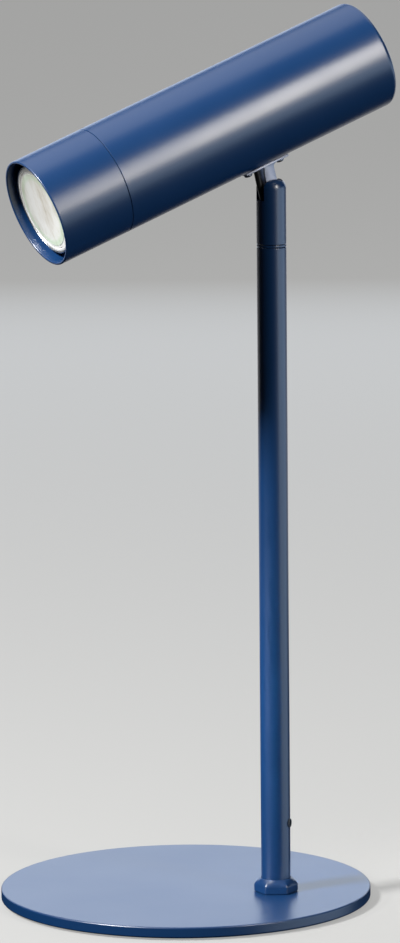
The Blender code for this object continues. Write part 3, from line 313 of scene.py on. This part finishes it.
def add_node(tree, kind, place, **settings):
    node = tree.nodes.new(kind)
    node.location = place
    for key, value in settings.items():
        if key in node.inputs:
            node.inputs[key].default_value = value
        else:
            setattr(node, key, value)
    return node


def finish(name, dark, light, roughness, metallic=0.0, grain=900.0, stretch=(1, 1, 1), bump=0.02,
           spread=0.05, cloud=22.0, **shader_values):
    """A procedural finish: soft colour drift, fine grain and a slightly uneven gloss."""
    name = f"{name}_finish"
    material = bpy.data.materials.get(name)
    if material:
        return material
    material = bpy.data.materials.new(name)
    material.use_nodes = True
    tree = material.node_tree
    link = tree.links.new
    shader = tree.nodes["Principled BSDF"]
    shader.inputs["Metallic"].default_value = metallic
    for socket, value in shader_values.items():
        shader.inputs[socket.replace("_", " ")].default_value = value
    coords = add_node(tree, "ShaderNodeTexCoord", (-1100, 0))
    mapping = add_node(tree, "ShaderNodeMapping", (-900, 0), Scale=stretch)
    link(coords.outputs["Object"], mapping.inputs["Vector"])
    drift = add_node(tree, "ShaderNodeTexNoise", (-700, 200), Scale=cloud, Detail=3.0, Roughness=0.6)
    fine = add_node(tree, "ShaderNodeTexNoise", (-700, -150), Scale=grain, Detail=2.0, Roughness=0.5)
    for noise in (drift, fine):
        link(mapping.outputs["Vector"], noise.inputs["Vector"])
    blend = add_node(tree, "ShaderNodeMix", (-450, 200), data_type="RGBA")
    blend.inputs["A"].default_value = (*dark, 1)
    blend.inputs["B"].default_value = (*light, 1)
    grain_share = 0.35
    weight = add_node(tree, "ShaderNodeMath", (-560, 60), operation="MULTIPLY_ADD")
    weight.inputs[1].default_value = grain_share
    link(fine.outputs["Fac"], weight.inputs[0])
    link(drift.outputs["Fac"], weight.inputs[2])
    link(weight.outputs[0], blend.inputs["Factor"])
    link(blend.outputs["Result"], shader.inputs["Base Color"])
    gloss = add_node(tree, "ShaderNodeMapRange", (-450, -60))
    gloss.inputs["From Min"].default_value = 0.3
    gloss.inputs["From Max"].default_value = 0.7
    gloss.inputs["To Min"].default_value = max(roughness - spread, 0.0)
    gloss.inputs["To Max"].default_value = roughness + spread
    link(drift.outputs["Fac"], gloss.inputs["Value"])
    link(gloss.outputs["Result"], shader.inputs["Roughness"])
    relief = add_node(tree, "ShaderNodeBump", (-300, -300), Strength=bump, Distance=0.05 * MM)
    link(fine.outputs["Fac"], relief.inputs["Height"])
    link(relief.outputs["Normal"], shader.inputs["Normal"])
    return material


def paint(context):
    looks = context.scene.lamp_finishes
    return finish("blue_paint", looks.paint, looks.paint_light, looks.paint_roughness, grain=1500.0,
                  bump=0.12, spread=0.015, cloud=14.0, IOR=1.6, Specular_IOR_Level=1.0)


def bright_steel(context):
    bright = context.scene.lamp_finishes.bright_steel
    dull = [value * 0.93 for value in bright]
    return finish("bright_steel", dull, bright, 0.5, metallic=1.0,
                  grain=2600.0, stretch=(1, 0.15, 0.15), bump=0.2, spread=0.05)


def plated_steel(context):
    return finish("plated_steel", (0.20, 0.21, 0.24), (0.26, 0.27, 0.31), 0.4, metallic=1.0,
                  grain=1800.0, bump=0.2, spread=0.06)


def black_flex(context):
    return finish("black_flex", (0.006, 0.006, 0.007), (0.012, 0.012, 0.013), 0.42, grain=900.0,
                  bump=0.3, spread=0.06)


def black_rubber(context):
    return finish("black_rubber", (0.050, 0.060, 0.078), (0.070, 0.082, 0.105), 0.42, grain=1300.0,
                  bump=0.3, spread=0.06, Specular_IOR_Level=0.8)


def lens_glass(context):
    """Frosted front glass: soft streaks across it, a greenish ring near its edge and a white border, with a
    painted faint glow and painted shade that darkens its upper side.
    """
    material = bpy.data.materials.get("lens_glass_finish")
    if material:
        return material
    # The faint emission is painted light: the lamp is off, and this glow only brightens the glass.
    material = finish("lens_glass", (0.72, 0.68, 0.60), context.scene.lamp_finishes.lens, 0.3,
                      grain=330.0, stretch=(1.7, 0.6, 0.6), bump=0.05, spread=0.04, cloud=55.0,
                      IOR=1.5, Coat_Weight=0.12, Coat_Roughness=0.2, Emission_Color=(1, 1, 0.97, 1),
                      Emission_Strength=0.12)
    tree = material.node_tree
    link = tree.links.new
    coords = add_node(tree, "ShaderNodeTexCoord", (-1100, -500))
    offset = add_node(tree, "ShaderNodeVectorMath", (-900, -500), operation="SUBTRACT")
    offset.inputs[1].default_value = head_front
    across_axis = add_node(tree, "ShaderNodeVectorMath", (-720, -500), operation="CROSS_PRODUCT")
    across_axis.inputs[1].default_value = head_back
    radius = add_node(tree, "ShaderNodeVectorMath", (-540, -500), operation="LENGTH")
    share = add_node(tree, "ShaderNodeMath", (-380, -500), operation="DIVIDE")
    share.inputs[1].default_value = LENS_RADIUS
    ramp = add_node(tree, "ShaderNodeValToRGB", (-220, -500))
    elements = ramp.color_ramp.elements
    elements[0].position, elements[1].position = LENS_RINGS[0][0], LENS_RINGS[-1][0]
    for place, _ in LENS_RINGS[1:-1]:
        elements.new(place)
    for element, (_, colour) in zip(elements, LENS_RINGS):
        element.color = (*colour, 1)
    multiply = {"data_type": "RGBA", "blend_type": "MULTIPLY", "Factor": 1.0}
    tint = add_node(tree, "ShaderNodeMix", (-60, 200), **multiply)
    link(coords.outputs["Object"], offset.inputs[0])
    link(offset.outputs["Vector"], across_axis.inputs[0])
    link(across_axis.outputs["Vector"], radius.inputs[0])
    link(radius.outputs["Value"], share.inputs[0])
    link(share.outputs[0], ramp.inputs["Fac"])
    shader = tree.nodes["Principled BSDF"]
    streaks = shader.inputs["Base Color"].links[0].from_socket
    blend = streaks.node
    # The streaks stand out from an even glass
    contrast = add_node(tree, "ShaderNodeMapRange", (-700, 420))
    contrast.inputs["From Min"].default_value = 0.50
    contrast.inputs["From Max"].default_value = 0.78
    link(blend.inputs["Factor"].links[0].from_socket, contrast.inputs["Value"])
    link(contrast.outputs["Result"], blend.inputs["Factor"])
    link(streaks, tint.inputs["A"])
    link(ramp.outputs["Color"], tint.inputs["B"])
    # Painted shade: the glass is darker towards its upper side, where the rim of the head shades it, and grows
    # lighter towards its lower side
    slope = add_node(tree, "ShaderNodeVectorMath", (-540, -700), operation="DOT_PRODUCT")
    slope.inputs[1].default_value = (head_down * 0.75 + across * 0.66) / LENS_RADIUS
    shade = add_node(tree, "ShaderNodeMapRange", (-380, -700))
    for socket, value in (("From Min", -1.0), ("From Max", 0.7), ("To Min", 0.48), ("To Max", 1.0)):
        shade.inputs[socket].default_value = value
    shaded = add_node(tree, "ShaderNodeMix", (80, 200), **multiply)
    link(offset.outputs["Vector"], slope.inputs[0])
    link(slope.outputs["Value"], shade.inputs["Value"])
    link(tint.outputs["Result"], shaded.inputs["A"])
    link(shade.outputs["Result"], shaded.inputs["B"])
    link(shaded.outputs["Result"], shader.inputs["Base Color"])
    return material


FINISH_BY_SLOT = {
    "blue_paint": paint,
    "bright_steel": bright_steel,
    "plated_steel": plated_steel,
    "black_flex": black_flex,
    "black_rubber": black_rubber,
    "bare_aluminium": lambda context: finish(
        "bare_aluminium", (0.60, 0.60, 0.62), (0.72, 0.72, 0.74), 0.35, metallic=1.0, grain=2200.0,
        bump=0.3, spread=0.08),
    "brass": lambda context: finish(
        "brass", (0.52, 0.38, 0.15), (0.68, 0.52, 0.24), 0.32, metallic=1.0, grain=1800.0, bump=0.25),
    "black_foam": lambda context: finish(
        "black_foam", (0.008, 0.008, 0.009), (0.022, 0.022, 0.024), 0.9, grain=2600.0, bump=1.0),
    "white_nylon": lambda context: finish(
        "white_nylon", (0.62, 0.62, 0.58), (0.72, 0.72, 0.68), 0.45, grain=700.0, bump=0.2),
    "brown_core": lambda context: finish(
        "brown_core", (0.075, 0.03, 0.014), (0.12, 0.05, 0.024), 0.4, grain=900.0, bump=0.25),
    "blue_core": lambda context: finish(
        "blue_core", (0.012, 0.09, 0.34), (0.02, 0.13, 0.44), 0.4, grain=900.0, bump=0.25),
    "white_ceramic": lambda context: finish(
        "white_ceramic", (0.66, 0.64, 0.59), (0.78, 0.77, 0.72), 0.55, grain=1500.0, bump=0.5),
    "white_plastic": lambda context: finish(
        "white_plastic", (0.66, 0.66, 0.65), (0.76, 0.76, 0.75), 0.38, grain=1100.0, bump=0.3),
    "lens_glass": lens_glass,
    "silvered_glass": lambda context: finish(
        "silvered_glass", (0.60, 0.63, 0.66), (0.72, 0.75, 0.78), 0.3, metallic=1.0, grain=500.0,
        bump=0.3, spread=0.05),
}


def finish_for(context, slot):
    return FINISH_BY_SLOT[slot](context)


class LampOperator(bpy.types.Operator):
    bl_options = {"REGISTER", "UNDO"}

    def sizes(self, context):
        return context.scene.lamp_sizes


class LAMP_OT_stage(LampOperator):
    """Set up the pale floor, the soft lights and the camera"""
    bl_idname = "lamp.stage"
    bl_label = "Studio"

    def execute(self, context):
        stage = context.scene.lamp_stage
        self.make_camera(context, stage)
        self.make_floor(context)
        self.make_surround(context)
        for name, azimuth, elevation, distance, size, power, colour in SOFT_LIGHTS:
            self.make_light(name, LAMP_MIDDLE, azimuth, elevation, distance, size, getattr(stage, power),
                            colour)
        low_fill = self.make_light("low_fill", post_place + Vector((0, 0, LOW_FILL_HEIGHT)), -84, 20, 0.6,
                                   (0.12, 0.12), stage.low_power, WHITE)
        low_fill.data.spread = LOW_FILL_SPREAD
        # A panel at floor level that faces up, as a bright floor would
        glow = self.make_light("floor_glow", Vector((0, 0, 0)), GLOW_ANGLE, 0, GLOW_DISTANCE, GLOW_SIZE,
                               stage.glow_power, WHITE)
        glow.rotation_euler = (math.pi, 0, math.radians(GLOW_ANGLE - 90))
        return {"FINISHED"}

    def make_camera(self, context, stage):
        data = bpy.data.cameras.new("camera")
        data.lens = stage.lens_length
        data.shift_x, data.shift_y = stage.camera_shift
        data.clip_end = 60.0
        camera = bpy.data.objects.new("camera", data)
        context.scene.collection.objects.link(camera)
        place = Vector(stage.camera_place)
        forward = (Vector(stage.camera_aim) - place).normalized()
        right = forward.cross(Vector((0, 0, 1))).normalized()
        up = right.cross(forward)
        turn = Matrix.Rotation(-stage.camera_roll, 3, forward)
        axes = Matrix((turn @ right, turn @ up, -forward)).transposed().to_4x4()
        camera.matrix_world = Matrix.Translation(place) @ axes
        context.scene.camera = camera

    def make_floor(self, context):
        floor_radius, floor_drop = 14.0, 0.2 * MM
        looks = context.scene.lamp_finishes
        bm = bmesh.new()
        bmesh.ops.create_circle(bm, cap_ends=True, segments=ROUND_STEPS, radius=floor_radius)
        bmesh.ops.translate(bm, vec=(0, 0, -floor_drop), verts=bm.verts)
        floor = mesh_object("floor", bm)
        shaded = [value * 0.985 for value in looks.floor]
        floor.data.materials.append(finish(
            "floor", shaded, looks.floor, 0.7, grain=40.0, bump=0.02, cloud=1.5, Specular_IOR_Level=0.0,
            Emission_Color=(*looks.backdrop, 1), Emission_Strength=1.0))
        floor.visible_glossy = False
        floor.visible_diffuse = False
        floor.visible_shadow = False

    def make_surround(self, context):
        context.scene.view_settings.view_transform = "Standard"
        world = bpy.data.worlds.new("studio")
        context.scene.world = world
        world.use_nodes = True
        tree = world.node_tree
        tree.nodes.clear()
        # The camera sees an even pale backdrop, and the lamp gets a faint cool fill
        path = add_node(tree, "ShaderNodeLightPath", (-600, 200))
        fill = add_node(tree, "ShaderNodeBackground", (-400, 0), Strength=0.012)
        fill.inputs["Color"].default_value = (0.85, 0.92, 1.0, 1)
        seen = add_node(tree, "ShaderNodeBackground", (-400, -150), Strength=1.0)
        seen.inputs["Color"].default_value = (*context.scene.lamp_finishes.backdrop, 1)
        mix = add_node(tree, "ShaderNodeMixShader", (-150, 0))
        output = add_node(tree, "ShaderNodeOutputWorld", (50, 0))
        tree.links.new(path.outputs["Is Camera Ray"], mix.inputs["Fac"])
        tree.links.new(fill.outputs["Background"], mix.inputs[1])
        tree.links.new(seen.outputs["Background"], mix.inputs[2])
        tree.links.new(mix.outputs["Shader"], output.inputs["Surface"])

    def make_light(self, name, centre, azimuth, elevation, distance, size, power, colour):
        data = bpy.data.lights.new(name, "AREA")
        data.shape = "RECTANGLE"
        data.size, data.size_y = size
        data.energy = power
        data.color = colour
        light = bpy.data.objects.new(name, data)
        bpy.context.scene.collection.objects.link(light)
        a, e = math.radians(azimuth), math.radians(elevation)
        outward = Vector((math.cos(e) * math.cos(a), math.cos(e) * math.sin(a), math.sin(e)))
        light.location = centre + outward * distance
        light.rotation_euler = outward.to_track_quat("Z", "Y").to_euler()
        light.visible_camera = False
        return light


class LAMP_OT_base(LampOperator):
    """Make the base plate and the pad under it"""
    bl_idname = "lamp.base"
    bl_label = "Base plate"

    def execute(self, context):
        s = self.sizes(context)
        bottom, top, edge = low("base_plate").z, high("base_plate").z, s.base_edge
        outline = [(0, bottom)] + arc((s.base_radius - edge, bottom + edge), edge, -90, 0, 4)
        outline += arc((s.base_radius - edge, top - edge), edge, 0, 90, 5) + [(0, top)]
        plate_steps, pad_steps = 180, 128
        plate = mesh_object("base_disc", turned(outline, plate_steps))
        settle(plate, "stand", paint(context), "blue_paint", "base_plate")
        pad_radius, pad_top = high("base_pad").x, high("base_pad").z
        edge = pad_top / 4
        outline = [(0, 0), (pad_radius - edge, 0), (pad_radius, edge), (pad_radius, pad_top), (0, pad_top)]
        pad = mesh_object("base_underlay", turned(outline, pad_steps))
        settle(pad, "stand", finish_for(context, "black_foam"), "black_foam", "base_pad")
        return {"FINISHED"}


class LAMP_OT_foot_collar(LampOperator):
    """Make the six-sided foot collar whose shoulder closes onto the post"""
    bl_idname = "lamp.foot_collar"
    bl_label = "Foot collar"

    def execute(self, context):
        s = self.sizes(context)
        bottom, top = low("foot_collar").z, high("foot_collar").z
        bore = s.post_radius + s.fit
        lip = bore + s.collar_lip
        edge = s.collar_lip / 2
        apothem = s.collar_flats / 2
        flat_top = bottom + s.collar_flat_height
        corner_power = 44
        foot_inset = 0.99
        collar_steps, shoulder_steps, shoulder_curve = 288, 12, 1.5

        def six_sided(turn):
            """Radius of a hexagon with slightly softened corners."""
            total = 0.0
            for side in range(6):
                facing = math.cos(turn - (side + 0.5) * math.tau / 6)
                if facing > 0:
                    total += facing ** corner_power
            return apothem * total ** (-1 / corner_power)

        bm = bmesh.new()

        def loop(height, radius_at):
            """A closed ring of edges at one height, with its own radius at every turn."""
            made = bmesh.ops.create_circle(bm, cap_ends=False, segments=collar_steps, radius=1.0)["verts"]
            for vert in made:
                turn = math.atan2(vert.co.y, vert.co.x)
                radius = radius_at(turn)
                vert.co = (radius * math.cos(turn), radius * math.sin(turn), height)
            return list({link for vert in made for link in vert.link_edges})

        levels = [loop(bottom, lambda turn: bore), loop(bottom, lambda turn: six_sided(turn) * foot_inset),
                  loop(bottom + edge / 2, six_sided), loop(flat_top - edge / 2, six_sided)]
        for step in range(shoulder_steps):
            share = step / shoulder_steps
            width = 1 - share ** shoulder_curve
            levels.append(loop(flat_top + (top - edge - flat_top) * share,
                               lambda turn: lip + (six_sided(turn) - lip) * width))
        levels += [loop(top - edge, lambda turn: lip), loop(top, lambda turn: bore + edge),
                   loop(top, lambda turn: bore)]
        for lower, upper in zip(levels, levels[1:] + levels[:1]):
            bmesh.ops.bridge_loops(bm, edges=lower + upper)
        bmesh.ops.transform(bm, matrix=POST @ Matrix.Rotation(s.collar_turn, 4, "Z"), verts=bm.verts)
        bmesh.ops.recalc_face_normals(bm, faces=bm.faces)
        collar = mesh_object("foot_nut", bm)
        settle(collar, "stand", paint(context), "blue_paint", "foot_collar")
        return {"FINISHED"}


class LAMP_OT_post(LampOperator):
    """Make the post and the grommet where the mains lead leaves it"""
    bl_idname = "lamp.post"
    bl_label = "Post"

    def execute(self, context):
        s = self.sizes(context)
        bottom, top = low("post_tube").z, high("post_tube").z
        edge = 0.3 * MM
        post = mesh_object("post", rounded_ring(s.post_radius - s.post_wall, s.post_radius, bottom, top,
                                                edge, place=POST))
        settle(post, "stand", paint(context), "blue_paint", "post_tube")
        outlet = (low("outlet_grommet") + high("outlet_grommet")) / 2
        outward = Vector((1, 1, 0)).normalized()
        place = Matrix.Translation((post_place.x, post_place.y, outlet.z))
        place = place @ outward.to_track_quat("Z", "Y").to_matrix().to_4x4()
        margin, bore, crown = 0.6 * MM, 1.6 * MM, 0.5 * MM
        radius = (high("outlet_grommet").z - low("outlet_grommet").z) / 2 - margin
        start = s.post_radius - 0.2 * MM
        end = s.post_radius + 0.6 * MM
        outline = [(bore, start), (radius, start)] + arc((radius - crown, end - crown), crown, 0, 90, 5)
        outline += arc((bore + edge, end - edge), edge, 90, 180, 4)
        grommet_steps = 48
        grommet = mesh_object("outlet_bush", turned(outline, grommet_steps, place))
        settle(grommet, "stand", finish_for(context, "black_rubber"), "black_rubber", "outlet_grommet")
        return {"FINISHED"}


class LAMP_OT_swivel(LampOperator):
    """Make the friction ring and the slotted swivel sleeve"""
    bl_idname = "lamp.swivel"
    bl_label = "Swivel"

    def execute(self, context):
        s = self.sizes(context)
        bottom, top = low("swivel_ring").z, high("swivel_ring").z
        ring_width, ring_edge = 4.0 * MM, 0.12 * MM
        ring = mesh_object("friction_ring", rounded_ring(s.post_radius - ring_width, s.post_radius, bottom,
                                                         top, ring_edge, place=POST))
        settle(ring, "swivel", paint(context), "blue_paint", "swivel_ring")
        bottom, top = low("swivel_sleeve").z, s.sleeve_top
        centre = (s.post_radius - s.dome_radius, top - s.dome_radius)
        edge = 0.2 * MM
        inner = s.post_radius - s.sleeve_wall
        outline = [(inner, bottom)] + arc((s.post_radius - edge, bottom + edge), edge, -90, 0, 3)
        outline += arc(centre, s.dome_radius, 0, 90, 14) + [(0, top), (0, top - s.sleeve_wall)]
        outline += arc(centre, s.dome_radius - s.sleeve_wall, 90, 0, 12)
        sleeve = mesh_object("swivel_cap", turned(outline, place=POST))
        half = s.slot_width / 2
        reach = s.post_radius * 2
        slot = extruded([(-half, -reach), (half, -reach), (half, s.slot_back), (-half, s.slot_back)],
                        top - s.slot_depth, top + s.slot_depth, POST)
        boolean(sleeve, slot, "DIFFERENCE")
        settle(sleeve, "swivel", paint(context), "blue_paint", "swivel_sleeve")
        return {"FINISHED"}


class LAMP_OT_head(LampOperator):
    """Make the head's rear housing and its front sleeve"""
    bl_idname = "lamp.head"
    bl_label = "Head"

    def execute(self, context):
        s = self.sizes(context)
        radius, bore = s.head_radius, s.head_radius - s.head_wall
        start, end = s.seam + s.seam_gap / 2, s.head_length
        edge = 0.15 * MM
        outline = [(bore, start), (radius - edge, start), (radius, start + edge)]
        outline += arc((radius - s.back_round, end - s.back_round), s.back_round, 0, 90, 10)
        inner_end = end - s.head_back_wall
        outline += [(0, end), (0, inner_end), (bore - s.head_wall, inner_end),
                    (bore, inner_end - s.head_wall)]
        housing = mesh_object("head_tube", turned(outline, FINE_STEPS, HEAD))
        settle(housing, "head", paint(context), "blue_paint", "rear_housing")
        stop = s.seam - s.seam_gap / 2
        rim = s.rim_edge
        outline = arc((radius - rim, rim), rim, 0, -90, 5) + arc((bore + rim, rim), rim, -90, -180, 5)
        outline += [(bore, stop), (radius - edge, stop), (radius, stop - edge)]
        front = mesh_object("head_rim_tube", turned(outline, FINE_STEPS, HEAD))
        settle(front, "front_sleeve", paint(context), "blue_paint", "front_sleeve")
        return {"FINISHED"}


class LAMP_OT_saddle(LampOperator):
    """Make the bright bracket under the head, with its two leaves and screws"""
    bl_idname = "lamp.saddle"
    bl_label = "Saddle bracket"

    def execute(self, context):
        s = self.sizes(context)
        length, width, thickness, leaf_thickness = 27.0 * MM, 12.0 * MM, 1.2 * MM, 1.5 * MM
        middle = PIN_BACK + 0.5 * MM
        inner = s.head_radius + s.fit
        outer = inner + thickness
        half = math.degrees(width / 2 / outer)
        strip = arc((0, 0), outer, 90 - half, 90 + half, 10)
        strip += arc((0, 0), inner, 90 + half, 90 - half, 10)
        bm = extruded(strip, middle - length / 2, middle + length / 2)
        soften(bm, 0.25 * MM, segments=2)
        bracket = mesh_object("saddle", bm)
        # Outline of a leaf in (down, back): a flared root, a waist and a round eye
        eye, waist, root, fillet = 4.5 * MM, 3.0 * MM, 4.3 * MM, 1.9 * MM
        back = PIN_BACK + 2.0 * MM
        neck = PIN_BELOW - eye
        sunk = outer - 0.6 * MM
        leaf = [(sunk, back - waist), (sunk, back + root)]
        leaf += arc((outer + 2.2 * MM, back + root), fillet, 180, 270, 6)
        leaf += arc((PIN_BELOW, PIN_BACK), eye, 130, -130, 24)
        leaf += [(neck, PIN_BACK - waist), (outer + 4.0 * MM, PIN_BACK - waist + 0.6 * MM)]
        leaf_outer = s.slot_width / 2 - s.fit
        for side in (1, -1):
            start, end = sorted((side * (leaf_outer - leaf_thickness), side * leaf_outer))
            plate = extruded(leaf, start, end, SIDEWAYS)
            soften(plate, 0.2 * MM, segments=2, angle=30)
            boolean(bracket, plate, "UNION")
        pin_place = Matrix.Translation((0, PIN_BELOW, PIN_BACK)) @ Matrix.Rotation(math.radians(90), 4, "Y")
        self.drill(bracket, 2.05 * MM, -9 * MM, 9 * MM, 32, pin_place)
        hole_place = Matrix.Translation((0, 0, PIN_BACK - LEAD_HOLE_FORWARD)) @ DOWNWARD
        self.drill(bracket, 2.2 * MM, inner - MM, outer + MM, SMALL_STEPS, hole_place)
        bracket.data.transform(HEAD)
        settle(bracket, "head", bright_steel(context), "bright_steel", "saddle_bracket")
        screw_pitch = 20.4 * MM
        for side, label in ((-1, "front"), (1, "rear")):
            place = HEAD @ Matrix.Translation((0, 0, middle + side * screw_pitch / 2)) @ DOWNWARD
            self.make_screw(context, label, place @ Matrix.Translation((0, 0, outer + s.fit)))
        return {"FINISHED"}

    def drill(self, bracket, radius, start, end, steps, place):
        """Cut a round hole through the bracket."""
        boolean(bracket, turned([(0, start), (radius, start), (radius, end), (0, end)], steps, place),
                "DIFFERENCE")

    def make_screw(self, context, label, place):
        radius, height, shank, length = 2.3 * MM, 1.6 * MM, 1.5 * MM, 7.0 * MM
        chamfer, edge, crown, groove_depth = 0.3 * MM, 0.15 * MM, 0.9 * MM, 0.8 * MM
        outline = [(0, -length), (shank - chamfer, -length), (shank, -length + chamfer), (shank, 0)]
        outline += arc((radius - edge, edge), edge, -90, 0, 2)
        outline += arc((radius - crown, height - crown), crown, 0, 90, 6) + [(0, height)]
        screw = mesh_object(f"bracket_screw_{label}", turned(outline, SMALL_STEPS))
        half, reach = 0.3 * MM, radius * 2
        groove = extruded([(-half, -reach), (half, -reach), (half, reach), (-half, reach)],
                          height - groove_depth, height * 2)
        boolean(screw, groove, "DIFFERENCE")
        screw.data.transform(place)
        settle(screw, "head", plated_steel(context), "plated_steel", f"saddle_screw_{label}")


class LAMP_OT_lead(LampOperator):
    """Make the flexible lead that rises from the swivel into the head"""
    bl_idname = "lamp.lead"
    bl_label = "Joint lead"

    def execute(self, context):
        tilt = Matrix.Rotation(math.asin(head_back.z), 4, "X")
        mouth = tilt @ Vector((0, -LEAD_HOLE_FORWARD, 14.8 * MM))
        below = tilt @ Vector((0, -LEAD_HOLE_FORWARD, 13.0 * MM))
        # Heights from the pivot: the lead leaves the spindle at its shoulder and bends forwards
        start = low("joint_lead").z - pivot.z
        spindle_top = 371.0 * MM
        shoulder = spindle_top - pivot.z
        rise = -shoulder
        front = -5.6 * MM
        route = [(0, 0, start), (0, 0, shoulder)]
        bend = ((0.14, 0.2), (0.5, 0.5), (0.86, 0.8))
        route += [(0, front * out, shoulder + rise * up) for out, up in bend]
        route += [(0, front * 1.06, 0), (0, front * 1.28, 4.69 * MM), tuple(below), tuple(mouth)]
        curve = bpy.data.curves.new("joint_flex", "CURVE")
        curve.dimensions = "3D"
        curve.bevel_depth = LEAD_RADIUS
        curve.bevel_resolution = 6
        curve.resolution_u = 10
        curve.use_fill_caps = True
        spline = curve.splines.new("NURBS")
        spline.points.add(len(route) - 1)
        for point, place in zip(spline.points, route):
            point.co = (*(Vector(place) + pivot), 1.0)
        spline.order_u = 3
        spline.use_endpoint_u = True
        source = bpy.data.objects.new("joint_flex_route", curve)
        context.scene.collection.objects.link(source)
        bpy.context.view_layer.update()
        mesh = bpy.data.meshes.new_from_object(source.evaluated_get(context.evaluated_depsgraph_get()))
        bpy.data.objects.remove(source, do_unlink=True)
        flex = bpy.data.objects.new("joint_flex", mesh)
        context.scene.collection.objects.link(flex)
        bm = bmesh.new()
        bm.from_mesh(mesh)
        bmesh.ops.remove_doubles(bm, verts=bm.verts, dist=MERGE_DISTANCE)
        bmesh.ops.recalc_face_normals(bm, faces=bm.faces)
        bm.to_mesh(mesh)
        bm.free()
        mesh.shade_smooth()
        mesh.materials.clear()
        mesh.materials.append(black_flex(context))
        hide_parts("joint_lead")
        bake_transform(flex)
        return {"FINISHED"}


class LAMP_OT_reflector_lamp(LampOperator):
    """Make the reflector lamp: frosted front glass, silvered bowl and rim"""
    bl_idname = "lamp.reflector_lamp"
    bl_label = "Reflector lamp"

    def execute(self, context):
        s = self.sizes(context)
        front, thick, dome, edge = 4.35 * MM, 2.0 * MM, 0.25 * MM, 0.5 * MM
        glass_steps = 128
        outline = [(0, front - dome)]
        for share in (0.2, 0.4, 0.55, 0.7, 0.8, 0.86):
            outline.append((LENS_RADIUS * share, front - dome * (1 - share ** 2)))
        # A fine step and a groove run round the glass near its border
        for share, drop in ((0.868, 0.12), (0.915, 0.12), (0.92, 0.4), (0.936, 0.4), (0.941, 0.02)):
            outline.append((LENS_RADIUS * share, front + drop * MM))
        outline += arc((LENS_RADIUS - edge, front + edge), edge, -90, 0, 4)
        outline += [(LENS_RADIUS, front + thick), (0, front + thick)]
        lens = mesh_object("front_glass", turned(outline, glass_steps, HEAD))
        settle(lens, "lamp", finish_for(context, "lens_glass"), "lens_glass", "lamp_lens")
        outer, rim_wall, rim_depth, recess = 25.0 * MM, 0.8 * MM, 5.0 * MM, 4.2 * MM
        rim_edge = rim_wall / 2
        # The bowl is a paraboloid, measured as (radius, distance back from the rim of the head)
        focus, neck, neck_length, neck_wall = 6.0 * MM, 6.0 * MM, 10.0 * MM, 3.0 * MM
        shell_out, shell_back = 1.6 * MM, 0.8 * MM
        bowl_steps = 12
        mouth = LENS_RADIUS - MM
        mouth_back = front + thick + s.fit
        vertex = mouth_back + mouth ** 2 / (4 * focus)
        bowl = []
        for i in range(bowl_steps + 1):
            radius = mouth + (neck - mouth) * i / bowl_steps
            bowl.append((radius, vertex - radius ** 2 / (4 * focus)))
        neck_start = bowl[-1][1]
        neck_end = neck_start + neck_length
        neck_outer = neck + neck_wall
        shell = [(radius + shell_out, back + shell_back) for radius, back in bowl[1:-1]
                 if radius + shell_out > neck_outer]
        rim_inner = outer - rim_wall
        outline = [(rim_inner, recess + s.fit), (rim_inner, mouth_back)] + bowl
        outline += [(neck, neck_end), (neck_outer, neck_end), (neck_outer, neck_start)] + shell[::-1]
        outline += [(outer, recess + rim_depth), (outer, recess + s.fit)]
        outline += arc((outer - rim_edge, recess + rim_edge), rim_edge, 0, -180, 6)
        bowl_piece = mesh_object("silvered_bowl", turned(outline, place=HEAD))
        settle(bowl_piece, "lamp", finish_for(context, "silvered_glass"), "silvered_glass",
               "lamp_reflector")
        return {"FINISHED"}


class LAMP_OT_inner_pieces(LampOperator):
    """Give every carried-over piece inside the lamp its own finish"""
    bl_idname = "lamp.inner_pieces"
    bl_label = "Inner pieces"

    def execute(self, context):
        slots = {part["node"]: part["material_slot"] for part in frame["record"]["subparts"]}
        for name, node in frame["nodes"].items():
            material = finish_for(context, slots[name])
            if not node.material_slots:
                node.data.materials.append(material)
            for slot in node.material_slots:
                slot.material = material
        return {"FINISHED"}


class LAMP_PT_panel(bpy.types.Panel):
    """Steps and settings of the table lamp"""
    bl_idname = "LAMP_PT_panel"
    bl_label = "Table lamp"
    bl_space_type = "VIEW_3D"
    bl_region_type = "UI"
    bl_category = "Lamp"

    def draw(self, context):
        for operator in OPERATORS:
            self.layout.operator(operator.bl_idname)
        for group in (context.scene.lamp_sizes, context.scene.lamp_finishes, context.scene.lamp_stage):
            for key in group.__annotations__:
                self.layout.prop(group, key)


OPERATORS = (LAMP_OT_stage, LAMP_OT_base, LAMP_OT_foot_collar, LAMP_OT_post, LAMP_OT_swivel, LAMP_OT_head,
             LAMP_OT_saddle, LAMP_OT_lead, LAMP_OT_reflector_lamp, LAMP_OT_inner_pieces)
GROUPS = {"lamp_sizes": LampSizes, "lamp_finishes": LampFinishes, "lamp_stage": LampStage}


def register():
    for cls in (*GROUPS.values(), *OPERATORS, LAMP_PT_panel):
        bpy.utils.register_class(cls)
    for name, group in GROUPS.items():
        setattr(bpy.types.Scene, name, PointerProperty(type=group))


def unregister():
    for name in GROUPS:
        delattr(bpy.types.Scene, name)
    for cls in (LAMP_PT_panel, *reversed(OPERATORS), *reversed(GROUPS.values())):
        bpy.utils.unregister_class(cls)


def main():
    register()
    bpy.ops.lamp.stage()
    bpy.ops.lamp.base()
    bpy.ops.lamp.foot_collar()
    bpy.ops.lamp.post()
    bpy.ops.lamp.swivel()
    bpy.ops.lamp.head()
    bpy.ops.lamp.saddle()
    bpy.ops.lamp.lead()
    bpy.ops.lamp.reflector_lamp()
    bpy.ops.lamp.inner_pieces()
    bpy.context.view_layer.update()


if __name__ == "__main__":
    main()
